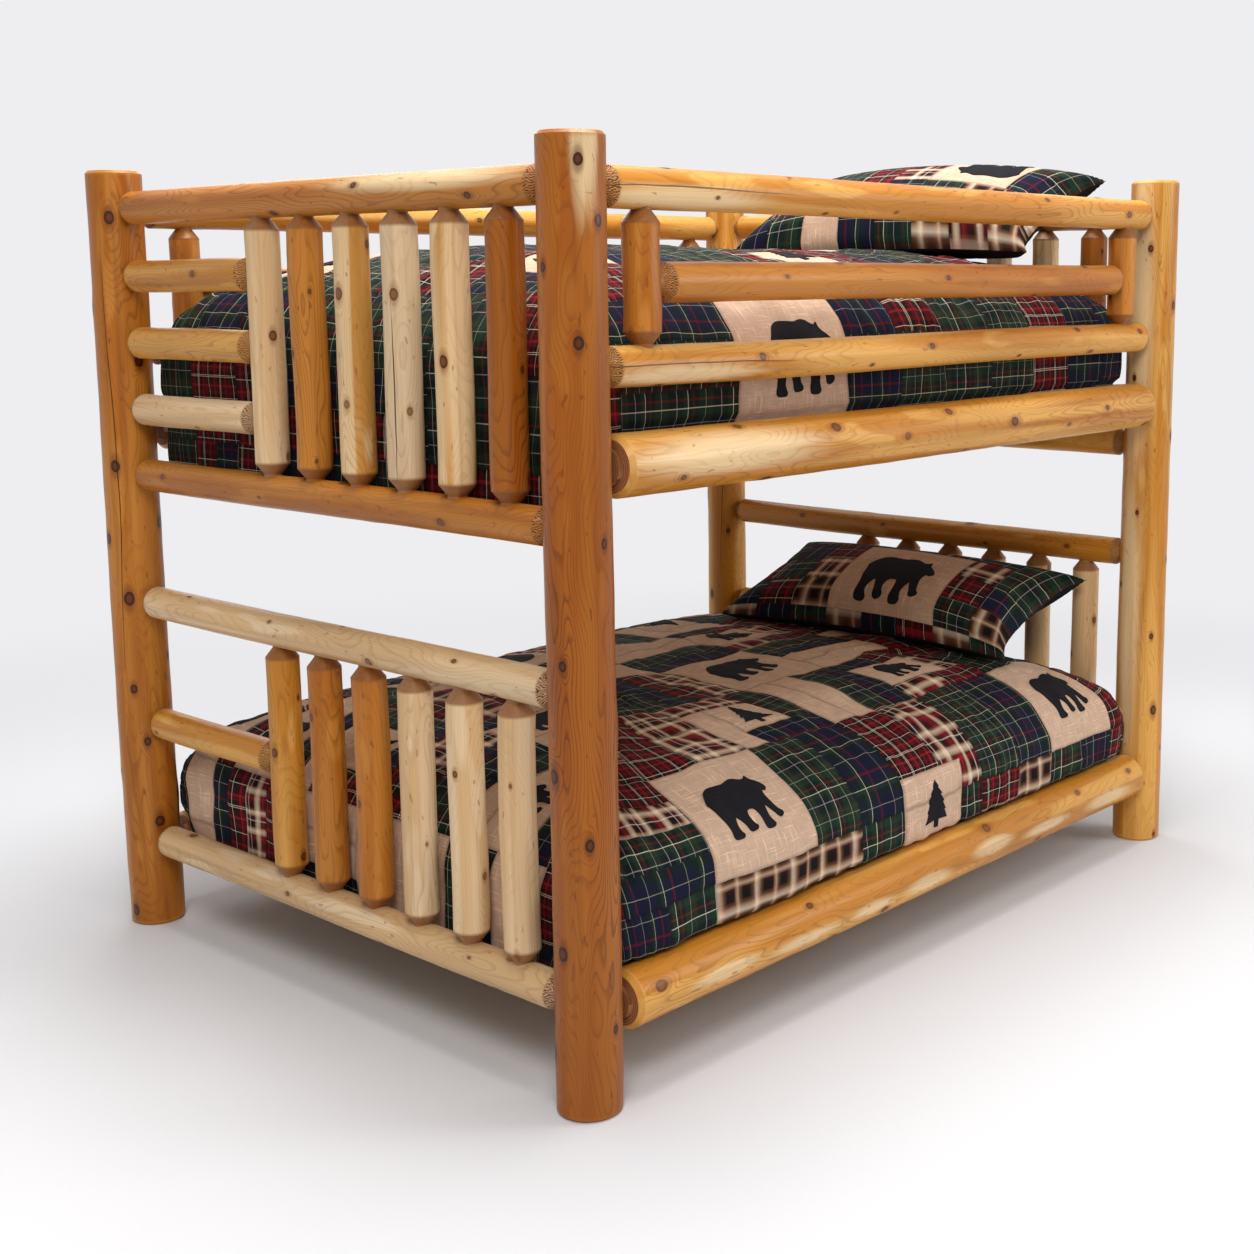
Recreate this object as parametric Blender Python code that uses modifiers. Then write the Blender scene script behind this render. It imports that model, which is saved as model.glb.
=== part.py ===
"""Log bunk bed, full size over full size.

Peeled logs joined by round tenons in round mortises: four posts, four spindled end panels with a
ladder bay at the back, bed rails with a rabbet for a bunkie board, and a guard along the upper
bunk. Metres, +Z up. X runs from the foot to the head, Y from the front to the back, and the
origin is on the floor in the middle of the bed.
"""

from math import cos, pi, radians, sin

import bmesh
import bpy
from mathutils import Euler, Matrix, Quaternion, Vector
from mathutils.bvhtree import BVHTree

# The mattress, a full size one, sets the plan of the bed
MATTRESS_LENGTH = 1.905
MATTRESS_WIDTH = 1.372
LOWER_MATTRESS_HEIGHT = 0.362
UPPER_MATTRESS_HEIGHT = 0.382
END_ROOM = 0.0465
SIDE_ROOM = 0.006

# Log diameters
POST_DIAMETER = 0.122
END_RAIL_DIAMETER = 0.072
SPINDLE_DIAMETER = 0.071
RUNG_DIAMETER = 0.070
BED_RAIL_DIAMETER = 0.116
GUARD_RAIL_DIAMETER = 0.074
GUARD_SPINDLE_DIAMETER = 0.070

# Heights, stacked from the floor up, between the axes of the end rails
LOWER_PANEL_BASE = 0.206
LOWER_PANEL_SPAN = 0.576
PANEL_TO_PANEL = 0.297
UPPER_PANEL_SPAN = 0.598
POST_RISE = 0.084

# Bed rails and guard rails, as drops and rises from the end rails
LOWER_BED_RAIL_DROP = 0.022
UPPER_BED_RAIL_RISE = 0.106
GUARD_TOP_DROP = 0.004
GUARD_MIDDLE_DROP = 0.169
GUARD_LOWER_DROP = 0.316
GUARD_SPINDLE_INSET = 0.1675

# Spindles and rungs of an end panel
LADDER_BAY = 0.575
LAST_SPINDLE_INSET = 0.175
SPINDLES_PER_PANEL = 6
UPPER_RUNGS = 3
LOWER_RUNGS = 1

# Tenons, mortises and the cones that lead to them
RAIL_TENON_DIAMETER = 0.045
BED_RAIL_TENON_DIAMETER = 0.066
SPINDLE_TENON_DIAMETER = 0.038
POST_WEB = 0.0045
RAIL_MORTISE_DEPTH = 0.030
SPINDLE_MORTISE_DEPTH = 0.026
RAIL_CONE = 0.018
SPINDLE_CONE = 0.021
BED_RAIL_CHAMFER = 0.009
BED_RAIL_FOOT_STANDOFF = 0.020
BED_RAIL_HEAD_STANDOFF = 0.004
CONE_STANDOFF = 0.001
POST_CHAMFER = 0.006
TENON_GAP = 0.0003
TENON_END_GAP = 0.001
MORTISE_MOUTH = 0.012

# Bunkie boards and the rabbets that hold them
RABBET_DEPTH = 0.028
LEDGE_DROP = 0.015
DECK_THICKNESS = 0.018
DECK_END_GAP = 0.009
BATTEN_WIDTH = 0.070
BATTEN_DEPTH = 0.035
BATTEN_SIDE_GAP = 0.003
BATTENS = 5
SEAT_GAP = 0.0003

# Quilted mattresses
QUILT_END_BULGE = 0.036
LOWER_QUILT_SIDE_BULGE = 0.080
GUARD_CLEARANCE = 0.008
QUILT_SHOULDER = 0.143
QUILT_TUCK = 0.060
QUILT_CROWN_WIDTH = 0.62
MATTRESS_EDGE = 0.028

# Pillows
PILLOW_LENGTH = 0.98
PILLOW_DEPTH = 0.46
PILLOW_CROWN = 0.105
PILLOW_BELLY = 0.050
PILLOW_SEAM = 0.004
PILLOW_DRAW_IN = 0.035
LOWER_PILLOW_TILT = 21.0
UPPER_PILLOW_TILT = 26.0
LOWER_PILLOW_SHIFT = -0.125
UPPER_PILLOW_SHIFT = -0.155
PILLOW_HEAD_GAP = 0.012
SOFT_GAP = 0.0006

# Facets
THICK_LOG_SIDES = 16
THIN_LOG_SIDES = 12
MATTRESS_CUTS = 8
TUCK_ROWS = 4
PILLOW_CUTS = 9
EDGE_SAMPLES = 12
LOWER_CORNER_POWER = 24
UPPER_CORNER_POWER = 60
CROWN_CORNER_POWER = 5
DOME_POWER = 2.4
SHARP_ANGLE = 32.0
MERGE_DISTANCE = 0.00002

# Places that follow from the sizes above
POST_RADIUS = POST_DIAMETER / 2
POST_X = MATTRESS_LENGTH / 2 + END_ROOM + END_RAIL_DIAMETER / 2
POST_Y = MATTRESS_WIDTH / 2 + SIDE_ROOM + BED_RAIL_DIAMETER / 2
LOWER_PANEL_TOP = LOWER_PANEL_BASE + LOWER_PANEL_SPAN
UPPER_PANEL_BASE = LOWER_PANEL_TOP + PANEL_TO_PANEL
UPPER_PANEL_TOP = UPPER_PANEL_BASE + UPPER_PANEL_SPAN
POST_HEIGHT = UPPER_PANEL_TOP + POST_RISE
LOWER_BED_RAIL_Z = LOWER_PANEL_BASE - LOWER_BED_RAIL_DROP
UPPER_BED_RAIL_Z = UPPER_PANEL_BASE + UPPER_BED_RAIL_RISE
GUARD_TOP_Z = UPPER_PANEL_TOP - GUARD_TOP_DROP
GUARD_MIDDLE_Z = UPPER_PANEL_TOP - GUARD_MIDDLE_DROP
GUARD_LOWER_Z = UPPER_PANEL_TOP - GUARD_LOWER_DROP
POST_MORTISE_DEPTH = POST_RADIUS - RAIL_TENON_DIAMETER / 2 - POST_WEB
UPPER_QUILT_SIDE_BULGE = SIDE_ROOM + (BED_RAIL_DIAMETER - GUARD_RAIL_DIAMETER) / 2 - GUARD_CLEARANCE

# Wood tones of the peeled logs, and the cloths
HONEY = (0.46, 0.21, 0.055)
GOLDEN = (0.55, 0.29, 0.09)
AMBER = (0.40, 0.17, 0.045)
CREAM = (0.68, 0.47, 0.23)
PALE = (0.60, 0.37, 0.14)
BOARD = (0.56, 0.42, 0.25)
QUILT = (0.060, 0.050, 0.045)
SHAM = (0.075, 0.040, 0.035)
VARNISH_ROUGHNESS = 0.32
BOARD_ROUGHNESS = 0.6
CLOTH_ROUGHNESS = 0.9

SPINDLE_TONES = {
    "upper": (CREAM, GOLDEN, PALE, CREAM, PALE, AMBER),
    "lower": (GOLDEN, GOLDEN, AMBER, PALE, CREAM, CREAM),
}
RUNG_TONES = {"upper": (GOLDEN, GOLDEN, CREAM), "lower": (GOLDEN,)}

for leftover in list(bpy.data.objects):
    bpy.data.objects.remove(leftover, do_unlink=True)

parts = bpy.data.collections.new("log_bunk_bed")
cutters = bpy.data.collections.new("log_bunk_bed_cutters")
bpy.context.scene.collection.children.link(parts)
bpy.context.scene.collection.children.link(cutters)

radius_of = {}
mortises_in = {}


def finish(piece, colour, roughness):
    """Give a piece its own plain finish."""
    material = bpy.data.materials.new(piece.name + "_finish")
    material.use_nodes = True
    shader = material.node_tree.nodes["Principled BSDF"]
    shader.inputs["Base Color"].default_value = (*colour, 1.0)
    shader.inputs["Roughness"].default_value = roughness
    shader.inputs["Metallic"].default_value = 0.0
    piece.data.materials.clear()
    piece.data.materials.append(material)


def piece_from(name, shape, collection):
    """Turn a finished bmesh into a linked object."""
    mesh = bpy.data.meshes.new(name)
    shape.to_mesh(mesh)
    shape.free()
    piece = bpy.data.objects.new(name, mesh)
    collection.objects.link(piece)
    if collection is cutters:
        piece.hide_render = True
        piece.display_type = "WIRE"
    return piece


def evaluated_mesh(piece):
    """The piece's mesh with its modifiers applied."""
    bpy.context.view_layer.update()
    graph = bpy.context.evaluated_depsgraph_get()
    return bpy.data.meshes.new_from_object(piece.evaluated_get(graph))


def turned(name, profile, sides, collection):
    """A round solid from (radius, height) points that run down its outer side."""
    outline = bmesh.new()
    points = [outline.verts.new((radius, 0.0, height)) for radius, height in profile]
    for upper, lower in zip(points, points[1:]):
        outline.edges.new((upper, lower))
    piece = piece_from(name, outline, collection)
    screw = piece.modifiers.new("turn", "SCREW")
    screw.steps = sides
    screw.render_steps = sides
    screw.use_merge_vertices = True
    screw.merge_threshold = MERGE_DISTANCE
    mesh = evaluated_mesh(piece)
    piece.modifiers.clear()
    piece.data = mesh
    mesh.shade_smooth()
    mesh.set_sharp_from_angle(angle=radians(SHARP_ANGLE))
    return piece


def cut(piece, cutter, operation="DIFFERENCE"):
    """Add a Boolean by another object to a piece."""
    boolean = piece.modifiers.new(cutter.name, "BOOLEAN")
    boolean.operation = operation
    boolean.solver = "EXACT"
    boolean.object = cutter


def box(name, low, high, collection):
    """A box between two corners, with its origin in its middle."""
    size = Vector(high) - Vector(low)
    shape = bmesh.new()
    bmesh.ops.create_cube(shape, size=1.0, matrix=Matrix.Diagonal((*size, 1.0)))
    piece = piece_from(name, shape, collection)
    piece.location = (Vector(low) + Vector(high)) / 2
    return piece


def cone_end(host, tenon_diameter, depth, cone):
    """A log end whose cone runs straight into its tenon."""
    return {
        "host": host,
        "tenon": tenon_diameter / 2,
        "depth": depth,
        "face": tenon_diameter / 2,
        "lead": cone,
        "standoff": CONE_STANDOFF,
    }


def flat_end(host, tenon_diameter, diameter, standoff):
    """A log end cut square off its post, with a chamfered rim around its tenon."""
    return {
        "host": host,
        "tenon": tenon_diameter / 2,
        "depth": POST_MORTISE_DEPTH,
        "face": diameter / 2 - BED_RAIL_CHAMFER,
        "lead": BED_RAIL_CHAMFER,
        "standoff": standoff,
    }


def end_profile(end, radius):
    """One log end from its tenon's tip outwards, as points of (radius, distance from the host's axis)."""
    surface = radius_of[end["host"]]
    tip = surface - end["depth"] + TENON_END_GAP
    shoulder = surface + end["standoff"]
    points = [(0.0, tip), (end["tenon"], tip), (end["tenon"], shoulder)]
    if end["face"] > end["tenon"]:
        points.append((end["face"], shoulder))
    points.append((radius, shoulder + end["lead"]))
    return points


def log_between(name, start, start_end, stop, stop_end, diameter, tone, sides, collection=parts):
    """A log whose axis runs from one host's axis to another's, with a tenon in each."""
    run = Vector(stop) - Vector(start)
    half = run.length / 2
    radius = diameter / 2
    upper = [(r, half - out) for r, out in end_profile(stop_end, radius)]
    lower = [(r, out - half) for r, out in end_profile(start_end, radius)]
    log = turned(name, upper + lower[::-1], sides, collection)
    log.rotation_mode = "QUATERNION"
    log.rotation_quaternion = run.to_track_quat("Z", "Y") @ Quaternion((0, 0, 1), pi / sides)
    log.location = (Vector(start) + Vector(stop)) / 2
    finish(log, tone, VARNISH_ROUGHNESS)
    radius_of[name] = radius
    bpy.context.view_layer.update()
    for end, height, inward in ((start_end, -half, 1), (stop_end, half, -1)):
        mortises_in.setdefault(end["host"], []).append((log.matrix_world.copy(), height, inward, end, sides))
    return log


def cut_mortises(host):
    """Bore every mortise of a host with one cutter."""
    shape = bmesh.new()
    for placed, height, inward, end, sides in mortises_in[host.name]:
        floor = radius_of[host.name] - end["depth"]
        mouth = radius_of[host.name] + MORTISE_MOUTH
        middle = height + inward * (floor + mouth) / 2
        bore = end["tenon"] + TENON_GAP / cos(pi / sides)
        bmesh.ops.create_cone(
            shape,
            cap_ends=True,
            segments=sides,
            radius1=bore,
            radius2=bore,
            depth=mouth - floor,
            matrix=placed @ Matrix.Translation((0, 0, middle)),
        )
    cut(host, piece_from(host.name + "_mortises", shape, cutters))


def post(name, x, y, tone):
    """A standing post with eased rims, its flats facing the rails."""
    rim = POST_RADIUS - POST_CHAMFER
    profile = [
        (0.0, POST_HEIGHT),
        (rim, POST_HEIGHT),
        (POST_RADIUS, POST_HEIGHT - POST_CHAMFER),
        (POST_RADIUS, POST_CHAMFER),
        (rim, 0.0),
        (0.0, 0.0),
    ]
    log = turned(name, profile, THICK_LOG_SIDES, parts)
    log.location = (x, y, 0.0)
    log.rotation_euler.z = pi / THICK_LOG_SIDES
    finish(log, tone, VARNISH_ROUGHNESS)
    radius_of[name] = POST_RADIUS


def end_panel(end, x, level, base, span, rungs, tones):
    """One spindled panel between a back and a front post, with its ladder rungs."""
    back = f"post_{end}_back"
    front = f"post_{end}_front"
    top_rail = f"{end}_{level}_top_rail"
    bottom_rail = f"{end}_{level}_bottom_rail"
    for rail, height, tone in ((top_rail, base + span, tones[0]), (bottom_rail, base, tones[1])):
        log_between(
            rail,
            (x, POST_Y, height),
            cone_end(back, RAIL_TENON_DIAMETER, POST_MORTISE_DEPTH, RAIL_CONE),
            (x, -POST_Y, height),
            cone_end(front, RAIL_TENON_DIAMETER, POST_MORTISE_DEPTH, RAIL_CONE),
            END_RAIL_DIAMETER,
            tone,
            THIN_LOG_SIDES,
        )
    first = POST_Y - LADDER_BAY
    pitch = (first + POST_Y - LAST_SPINDLE_INSET) / (SPINDLES_PER_PANEL - 1)
    for index in range(SPINDLES_PER_PANEL):
        y = first - index * pitch
        log_between(
            f"{end}_{level}_spindle_{index + 1}",
            (x, y, base),
            cone_end(bottom_rail, SPINDLE_TENON_DIAMETER, RAIL_MORTISE_DEPTH, SPINDLE_CONE),
            (x, y, base + span),
            cone_end(top_rail, SPINDLE_TENON_DIAMETER, RAIL_MORTISE_DEPTH, SPINDLE_CONE),
            SPINDLE_DIAMETER,
            SPINDLE_TONES[level][index],
            THIN_LOG_SIDES,
        )
    for index in range(rungs):
        height = base + span * (rungs - index) / (rungs + 1)
        name = f"{end}_{level}_rung_{index + 1}" if rungs > 1 else f"{end}_{level}_rung"
        log_between(
            name,
            (x, POST_Y, height),
            cone_end(back, SPINDLE_TENON_DIAMETER, POST_MORTISE_DEPTH, RAIL_CONE),
            (x, first, height),
            cone_end(f"{end}_{level}_spindle_1", SPINDLE_TENON_DIAMETER, SPINDLE_MORTISE_DEPTH, RAIL_CONE),
            RUNG_DIAMETER,
            RUNG_TONES[level][index],
            THIN_LOG_SIDES,
        )


def bed_rail(side, y, level, height, tone):
    """A thick side rail with the rabbet for the bunkie board along its inner upper side."""
    foot = f"post_foot_{side}"
    head = f"post_head_{side}"
    name = f"{side}_{level}_bed_rail"
    rail = log_between(
        name,
        (-POST_X, y, height),
        flat_end(foot, BED_RAIL_TENON_DIAMETER, BED_RAIL_DIAMETER, BED_RAIL_FOOT_STANDOFF),
        (POST_X, y, height),
        flat_end(head, BED_RAIL_TENON_DIAMETER, BED_RAIL_DIAMETER, BED_RAIL_HEAD_STANDOFF),
        BED_RAIL_DIAMETER,
        tone,
        THICK_LOG_SIDES,
    )
    inward = -1 if y > 0 else 1
    wall = y + inward * (BED_RAIL_DIAMETER / 2 - RABBET_DEPTH)
    beyond = y + inward * BED_RAIL_DIAMETER
    reach = POST_X - POST_RADIUS
    rabbet = box(
        name + "_rabbet",
        (-reach, min(wall, beyond), height - LEDGE_DROP),
        (reach, max(wall, beyond), height + BED_RAIL_DIAMETER),
        cutters,
    )
    cut(rail, rabbet)


def guard_rail(side, y, level, height, tone):
    """A thin side rail of the upper bunk's guard, from post to post."""
    log_between(
        f"{side}_guard_{level}_rail",
        (-POST_X, y, height),
        cone_end(f"post_foot_{side}", RAIL_TENON_DIAMETER, POST_MORTISE_DEPTH, RAIL_CONE),
        (POST_X, y, height),
        cone_end(f"post_head_{side}", RAIL_TENON_DIAMETER, POST_MORTISE_DEPTH, RAIL_CONE),
        GUARD_RAIL_DIAMETER,
        tone,
        THIN_LOG_SIDES,
    )


def guard_insert(side, y, tone):
    """The guard's middle rail and the two short spindles that carry it, as one glued-up frame."""
    reach = POST_X - GUARD_SPINDLE_INSET
    spindles = []
    for label, x in (("foot", -reach), ("head", reach)):
        spindle = log_between(
            f"{side}_guard_spindle_{label}",
            (x, y, GUARD_LOWER_Z),
            cone_end(f"{side}_guard_lower_rail", SPINDLE_TENON_DIAMETER, RAIL_MORTISE_DEPTH, SPINDLE_CONE),
            (x, y, GUARD_TOP_Z),
            cone_end(f"{side}_guard_top_rail", SPINDLE_TENON_DIAMETER, RAIL_MORTISE_DEPTH, SPINDLE_CONE),
            GUARD_SPINDLE_DIAMETER,
            tone,
            THIN_LOG_SIDES,
            cutters,
        )
        spindles.append(spindle)
    insert = log_between(
        f"{side}_guard_insert",
        (-reach, y, GUARD_MIDDLE_Z),
        cone_end(spindles[0].name, RAIL_TENON_DIAMETER, SPINDLE_MORTISE_DEPTH, RAIL_CONE),
        (reach, y, GUARD_MIDDLE_Z),
        cone_end(spindles[1].name, RAIL_TENON_DIAMETER, SPINDLE_MORTISE_DEPTH, RAIL_CONE),
        GUARD_RAIL_DIAMETER,
        tone,
        THIN_LOG_SIDES,
    )
    for spindle in spindles:
        cut(insert, spindle, "UNION")
        spindle.hide_render = True
        spindle.display_type = "WIRE"


def deck(name, rail_height):
    """A bunkie board: a panel in the rails' rabbets, stiffened by cross battens below."""
    half_length = POST_X - POST_RADIUS - DECK_END_GAP
    half_width = POST_Y - BED_RAIL_DIAMETER / 2 + RABBET_DEPTH - SEAT_GAP
    bottom = rail_height - LEDGE_DROP + SEAT_GAP
    board = box(
        name,
        (-half_length, -half_width, bottom),
        (half_length, half_width, bottom + DECK_THICKNESS),
        parts,
    )
    finish(board, BOARD, BOARD_ROUGHNESS)
    reach = POST_Y - BED_RAIL_DIAMETER / 2 - BATTEN_SIDE_GAP
    first = BATTEN_WIDTH - half_length
    pitch = 2 * (half_length - BATTEN_WIDTH) / (BATTENS - 1)
    shape = bmesh.new()
    for index in range(BATTENS):
        size = (BATTEN_WIDTH, 2 * reach, BATTEN_DEPTH + DECK_THICKNESS / 2, 1.0)
        middle = bottom + (DECK_THICKNESS / 2 - BATTEN_DEPTH) / 2
        place = Matrix.Translation((first + index * pitch, 0.0, middle))
        bmesh.ops.create_cube(shape, size=1.0, matrix=place @ Matrix.Diagonal(size))
    cut(board, piece_from(name + "_battens", shape, cutters), "UNION")
    return bottom + DECK_THICKNESS


def soft_piece(name, shape, colour):
    """Close a shaped cage as a smooth soft piece of triangles."""
    bmesh.ops.triangulate(shape, faces=shape.faces[:])
    bmesh.ops.recalc_face_normals(shape, faces=shape.faces[:])
    piece = piece_from(name, shape, parts)
    piece.data.shade_smooth()
    finish(piece, colour, CLOTH_ROUGHNESS)
    return piece


def quilt_section(turn, crown):
    """Inset and rise above the shoulder at a turn over the crowned top, from its rim to its middle."""
    inset = QUILT_CROWN_WIDTH * (1 - cos(turn) ** (2 / DOME_POWER))
    rise = crown * sin(turn) ** (2 / DOME_POWER)
    return inset, rise


def rounded_corner(u, v, power):
    """Move a point of a square's outline onto the square with rounded corners, closer set near them."""
    u = sin(u * pi / 2)
    v = sin(v * pi / 2)
    pull = (abs(u) ** power + abs(v) ** power) ** (-1 / power)
    return u * pull, v * pull


def mattress(name, bottom, height, side_bulge, corner_power):
    """A mattress under its quilt: tucked in between the rails, puffed out above them, crowned on top."""
    shape = bmesh.new()
    bmesh.ops.create_cube(shape, size=2.0)
    bmesh.ops.subdivide_edges(shape, edges=shape.edges[:], cuts=MATTRESS_CUTS, use_grid_fill=True)
    rows = MATTRESS_CUTS + 1
    tuck = (
        (0.0, MATTRESS_EDGE, 0.0),
        (0.0, MATTRESS_EDGE / 3, MATTRESS_EDGE / 3),
        (0.0, 0.0, MATTRESS_EDGE),
        (0.25, 0.0, QUILT_TUCK),
    )
    crown_steps = rows - TUCK_ROWS + rows / 2
    for vert in shape.verts:
        u, v, w = vert.co
        ring = max(abs(u), abs(v))
        row = round((w + 1) * rows / 2)
        share = 0.0
        if row < TUCK_ROWS:
            bulge, inset, rise = tuck[row]
        else:
            share = (row - TUCK_ROWS + (1 - ring) * rows / 2) / crown_steps
            inset, rise = quilt_section(radians(90) * share, height - QUILT_SHOULDER)
            bulge = 1.0
            rise += QUILT_SHOULDER
        spread = ring if row == 0 else 1.0
        half_x = (MATTRESS_LENGTH / 2 + bulge * QUILT_END_BULGE - inset) * spread
        half_y = (MATTRESS_WIDTH / 2 + bulge * side_bulge - inset) * spread
        power = corner_power ** (1 - share) * CROWN_CORNER_POWER**share
        u, v = rounded_corner(u / ring, v / ring, power)
        vert.co = (u * half_x, v * half_y, rise)
    piece = soft_piece(name, shape, QUILT)
    piece.location.z = bottom + SEAT_GAP
    return piece


def surface_points(piece):
    """Points in space along every edge of a piece."""
    ends = [piece.matrix_world @ vert.co for vert in piece.data.vertices]
    shares = [step / EDGE_SAMPLES for step in range(EDGE_SAMPLES + 1)]
    spans = [[ends[corner] for corner in edge.vertices] for edge in piece.data.edges]
    return [start.lerp(stop, share) for start, stop in spans for share in shares]


def surface_tree(piece):
    """A tree of a piece's faces in space, for casting rays on."""
    corners = [piece.matrix_world @ vert.co for vert in piece.data.vertices]
    return BVHTree.FromPolygons(corners, [face.vertices for face in piece.data.polygons])


def lowest_gap(piece, support):
    """The least vertical distance from a piece down to what lies under it."""
    bpy.context.view_layer.update()
    up = Vector((0, 0, 1))
    support_tree = surface_tree(support)
    piece_tree = surface_tree(piece)
    gaps = [support_tree.ray_cast(point, -up)[3] for point in surface_points(piece)]
    gaps += [piece_tree.ray_cast(point, up)[3] for point in surface_points(support)]
    return min(gap for gap in gaps if gap is not None)


def pillow(name, support, tilt, side_shift):
    """A crowned pillow with pointed corners, leaning back towards the head panel."""
    shape = bmesh.new()
    bmesh.ops.create_cube(shape, size=2.0)
    level = [edge for edge in shape.edges if edge.verts[0].co.z == edge.verts[1].co.z]
    bmesh.ops.subdivide_edges(shape, edges=level, cuts=PILLOW_CUTS, use_grid_fill=True)
    for vert in shape.verts:
        u, v, w = vert.co
        swell = ((1 - u * u) * (1 - v * v)) ** 0.5
        depth = PILLOW_CROWN if w > 0 else PILLOW_BELLY
        x = u * (PILLOW_DEPTH / 2 - PILLOW_DRAW_IN * (1 - v * v))
        y = v * (PILLOW_LENGTH / 2 - PILLOW_DRAW_IN * (1 - u * u))
        vert.co = (x, y, w * (PILLOW_SEAM / 2 + depth * swell))
    piece = soft_piece(name, shape, SHAM)
    piece.rotation_euler = Euler((0.0, -radians(tilt), 0.0))
    bpy.context.view_layer.update()
    reach = max((piece.matrix_world @ vert.co).x for vert in piece.data.vertices)
    head_face = POST_X - END_RAIL_DIAMETER / 2
    piece.location.x = head_face - PILLOW_HEAD_GAP - reach
    piece.location.y = side_shift
    piece.location.z = support.location.z + support.dimensions.z + PILLOW_DEPTH
    piece.location.z -= lowest_gap(piece, support) - SOFT_GAP
    return piece


post("post_foot_front", -POST_X, -POST_Y, HONEY)
post("post_foot_back", -POST_X, POST_Y, GOLDEN)
post("post_head_front", POST_X, -POST_Y, PALE)
post("post_head_back", POST_X, POST_Y, GOLDEN)

for end, x in (("foot", -POST_X), ("head", POST_X)):
    end_panel(end, x, "lower", LOWER_PANEL_BASE, LOWER_PANEL_SPAN, LOWER_RUNGS, (CREAM, CREAM))
    end_panel(end, x, "upper", UPPER_PANEL_BASE, UPPER_PANEL_SPAN, UPPER_RUNGS, (GOLDEN, GOLDEN))

for side, y in (("front", -POST_Y), ("back", POST_Y)):
    bed_rail(side, y, "lower", LOWER_BED_RAIL_Z, GOLDEN)
    bed_rail(side, y, "upper", UPPER_BED_RAIL_Z, GOLDEN)
    guard_rail(side, y, "lower", GUARD_LOWER_Z, GOLDEN)
    guard_rail(side, y, "top", GUARD_TOP_Z, GOLDEN)
    guard_insert(side, y, GOLDEN)

for host_name in list(mortises_in):
    if host_name in parts.objects:
        cut_mortises(parts.objects[host_name])

lower_seat = deck("lower_deck", LOWER_BED_RAIL_Z)
upper_seat = deck("upper_deck", UPPER_BED_RAIL_Z)
lower_bed = mattress(
    "lower_mattress",
    lower_seat,
    LOWER_MATTRESS_HEIGHT,
    LOWER_QUILT_SIDE_BULGE,
    LOWER_CORNER_POWER,
)
upper_bed = mattress(
    "upper_mattress",
    upper_seat,
    UPPER_MATTRESS_HEIGHT,
    UPPER_QUILT_SIDE_BULGE,
    UPPER_CORNER_POWER,
)
pillow("lower_pillow", lower_bed, LOWER_PILLOW_TILT, LOWER_PILLOW_SHIFT)
pillow("upper_pillow", upper_bed, UPPER_PILLOW_TILT, UPPER_PILLOW_SHIFT)
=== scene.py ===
"""Looks of a log bunk bed: peeled and varnished logs, patchwork quilts, shams, floor and light."""

import logging
from collections.abc import Callable, Iterator
from contextlib import contextmanager
from dataclasses import dataclass, field
from enum import Enum
from functools import cache
from math import cos, pi, radians, sin, tau
from typing import ClassVar

import bmesh
import bpy
import numpy as np
from mathutils import Euler, Matrix, Vector
from mathutils.bvhtree import BVHTree
from mathutils.geometry import delaunay_2d_cdt


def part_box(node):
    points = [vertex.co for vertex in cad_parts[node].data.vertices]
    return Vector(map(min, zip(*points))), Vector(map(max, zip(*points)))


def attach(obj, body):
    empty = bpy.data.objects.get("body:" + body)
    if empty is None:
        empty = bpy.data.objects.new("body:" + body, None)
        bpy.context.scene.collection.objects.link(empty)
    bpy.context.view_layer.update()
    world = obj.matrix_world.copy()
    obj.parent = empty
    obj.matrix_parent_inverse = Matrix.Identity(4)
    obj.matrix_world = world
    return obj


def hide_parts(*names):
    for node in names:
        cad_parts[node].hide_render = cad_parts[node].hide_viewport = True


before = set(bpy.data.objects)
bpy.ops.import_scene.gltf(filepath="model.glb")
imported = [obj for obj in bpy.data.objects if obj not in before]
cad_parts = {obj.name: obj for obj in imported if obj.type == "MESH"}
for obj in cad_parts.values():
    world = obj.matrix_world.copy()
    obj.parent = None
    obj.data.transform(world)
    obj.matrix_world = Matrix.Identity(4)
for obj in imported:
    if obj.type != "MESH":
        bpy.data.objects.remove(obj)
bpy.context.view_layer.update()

log = logging.getLogger("log_bunk_bed")

Colour = tuple[float, float, float]
Socket = bpy.types.NodeSocket
Piece = bpy.types.Object
Items = bpy.types.bpy_prop_collection
Surface = Callable[[np.ndarray, np.ndarray], tuple[np.ndarray, np.ndarray]]

MERGE = 1e-5
CLOSE = 1e-6
TINY = 1e-9


def srgb(*channels: int) -> Colour:
    """Turn a colour as seen on a screen, from 0 to 255, into the linear one that shaders use."""
    shares = (channel / 255 for channel in channels)
    return tuple(s / 12.92 if s <= 0.04045 else ((s + 0.055) / 1.055) ** 2.4 for s in shares)


def smooth_step(value: np.ndarray, low: float, high: float) -> np.ndarray:
    """Ease values from 0 at low to 1 at high, which lies above or below low."""
    share = np.clip((value - low) / (high - low), 0.0, 1.0)
    return share * share * (3 - 2 * share)


def turn_from(angle: np.ndarray, middle: np.ndarray | float) -> np.ndarray:
    """Turn from a middle angle to others, the short way round."""
    return (angle - middle + pi) % tau - pi


def pick(*pieces: Piece) -> None:
    """Select some pieces only, with the first one active."""
    bpy.ops.object.select_all(action="DESELECT")
    for piece in pieces:
        piece.select_set(True)
    bpy.context.view_layer.objects.active = pieces[0]


def add_piece(name: str, mesh: bpy.types.Mesh) -> Piece:
    """Put a mesh in the scene as a piece of its own.

    Args:
        name: Name of the piece.
        mesh: Its mesh.

    Returns:
        The piece, selected and active.
    """
    mesh.name = name
    piece = bpy.data.objects.new(name, mesh)
    bpy.context.scene.collection.objects.link(piece)
    pick(piece)
    return piece


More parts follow.
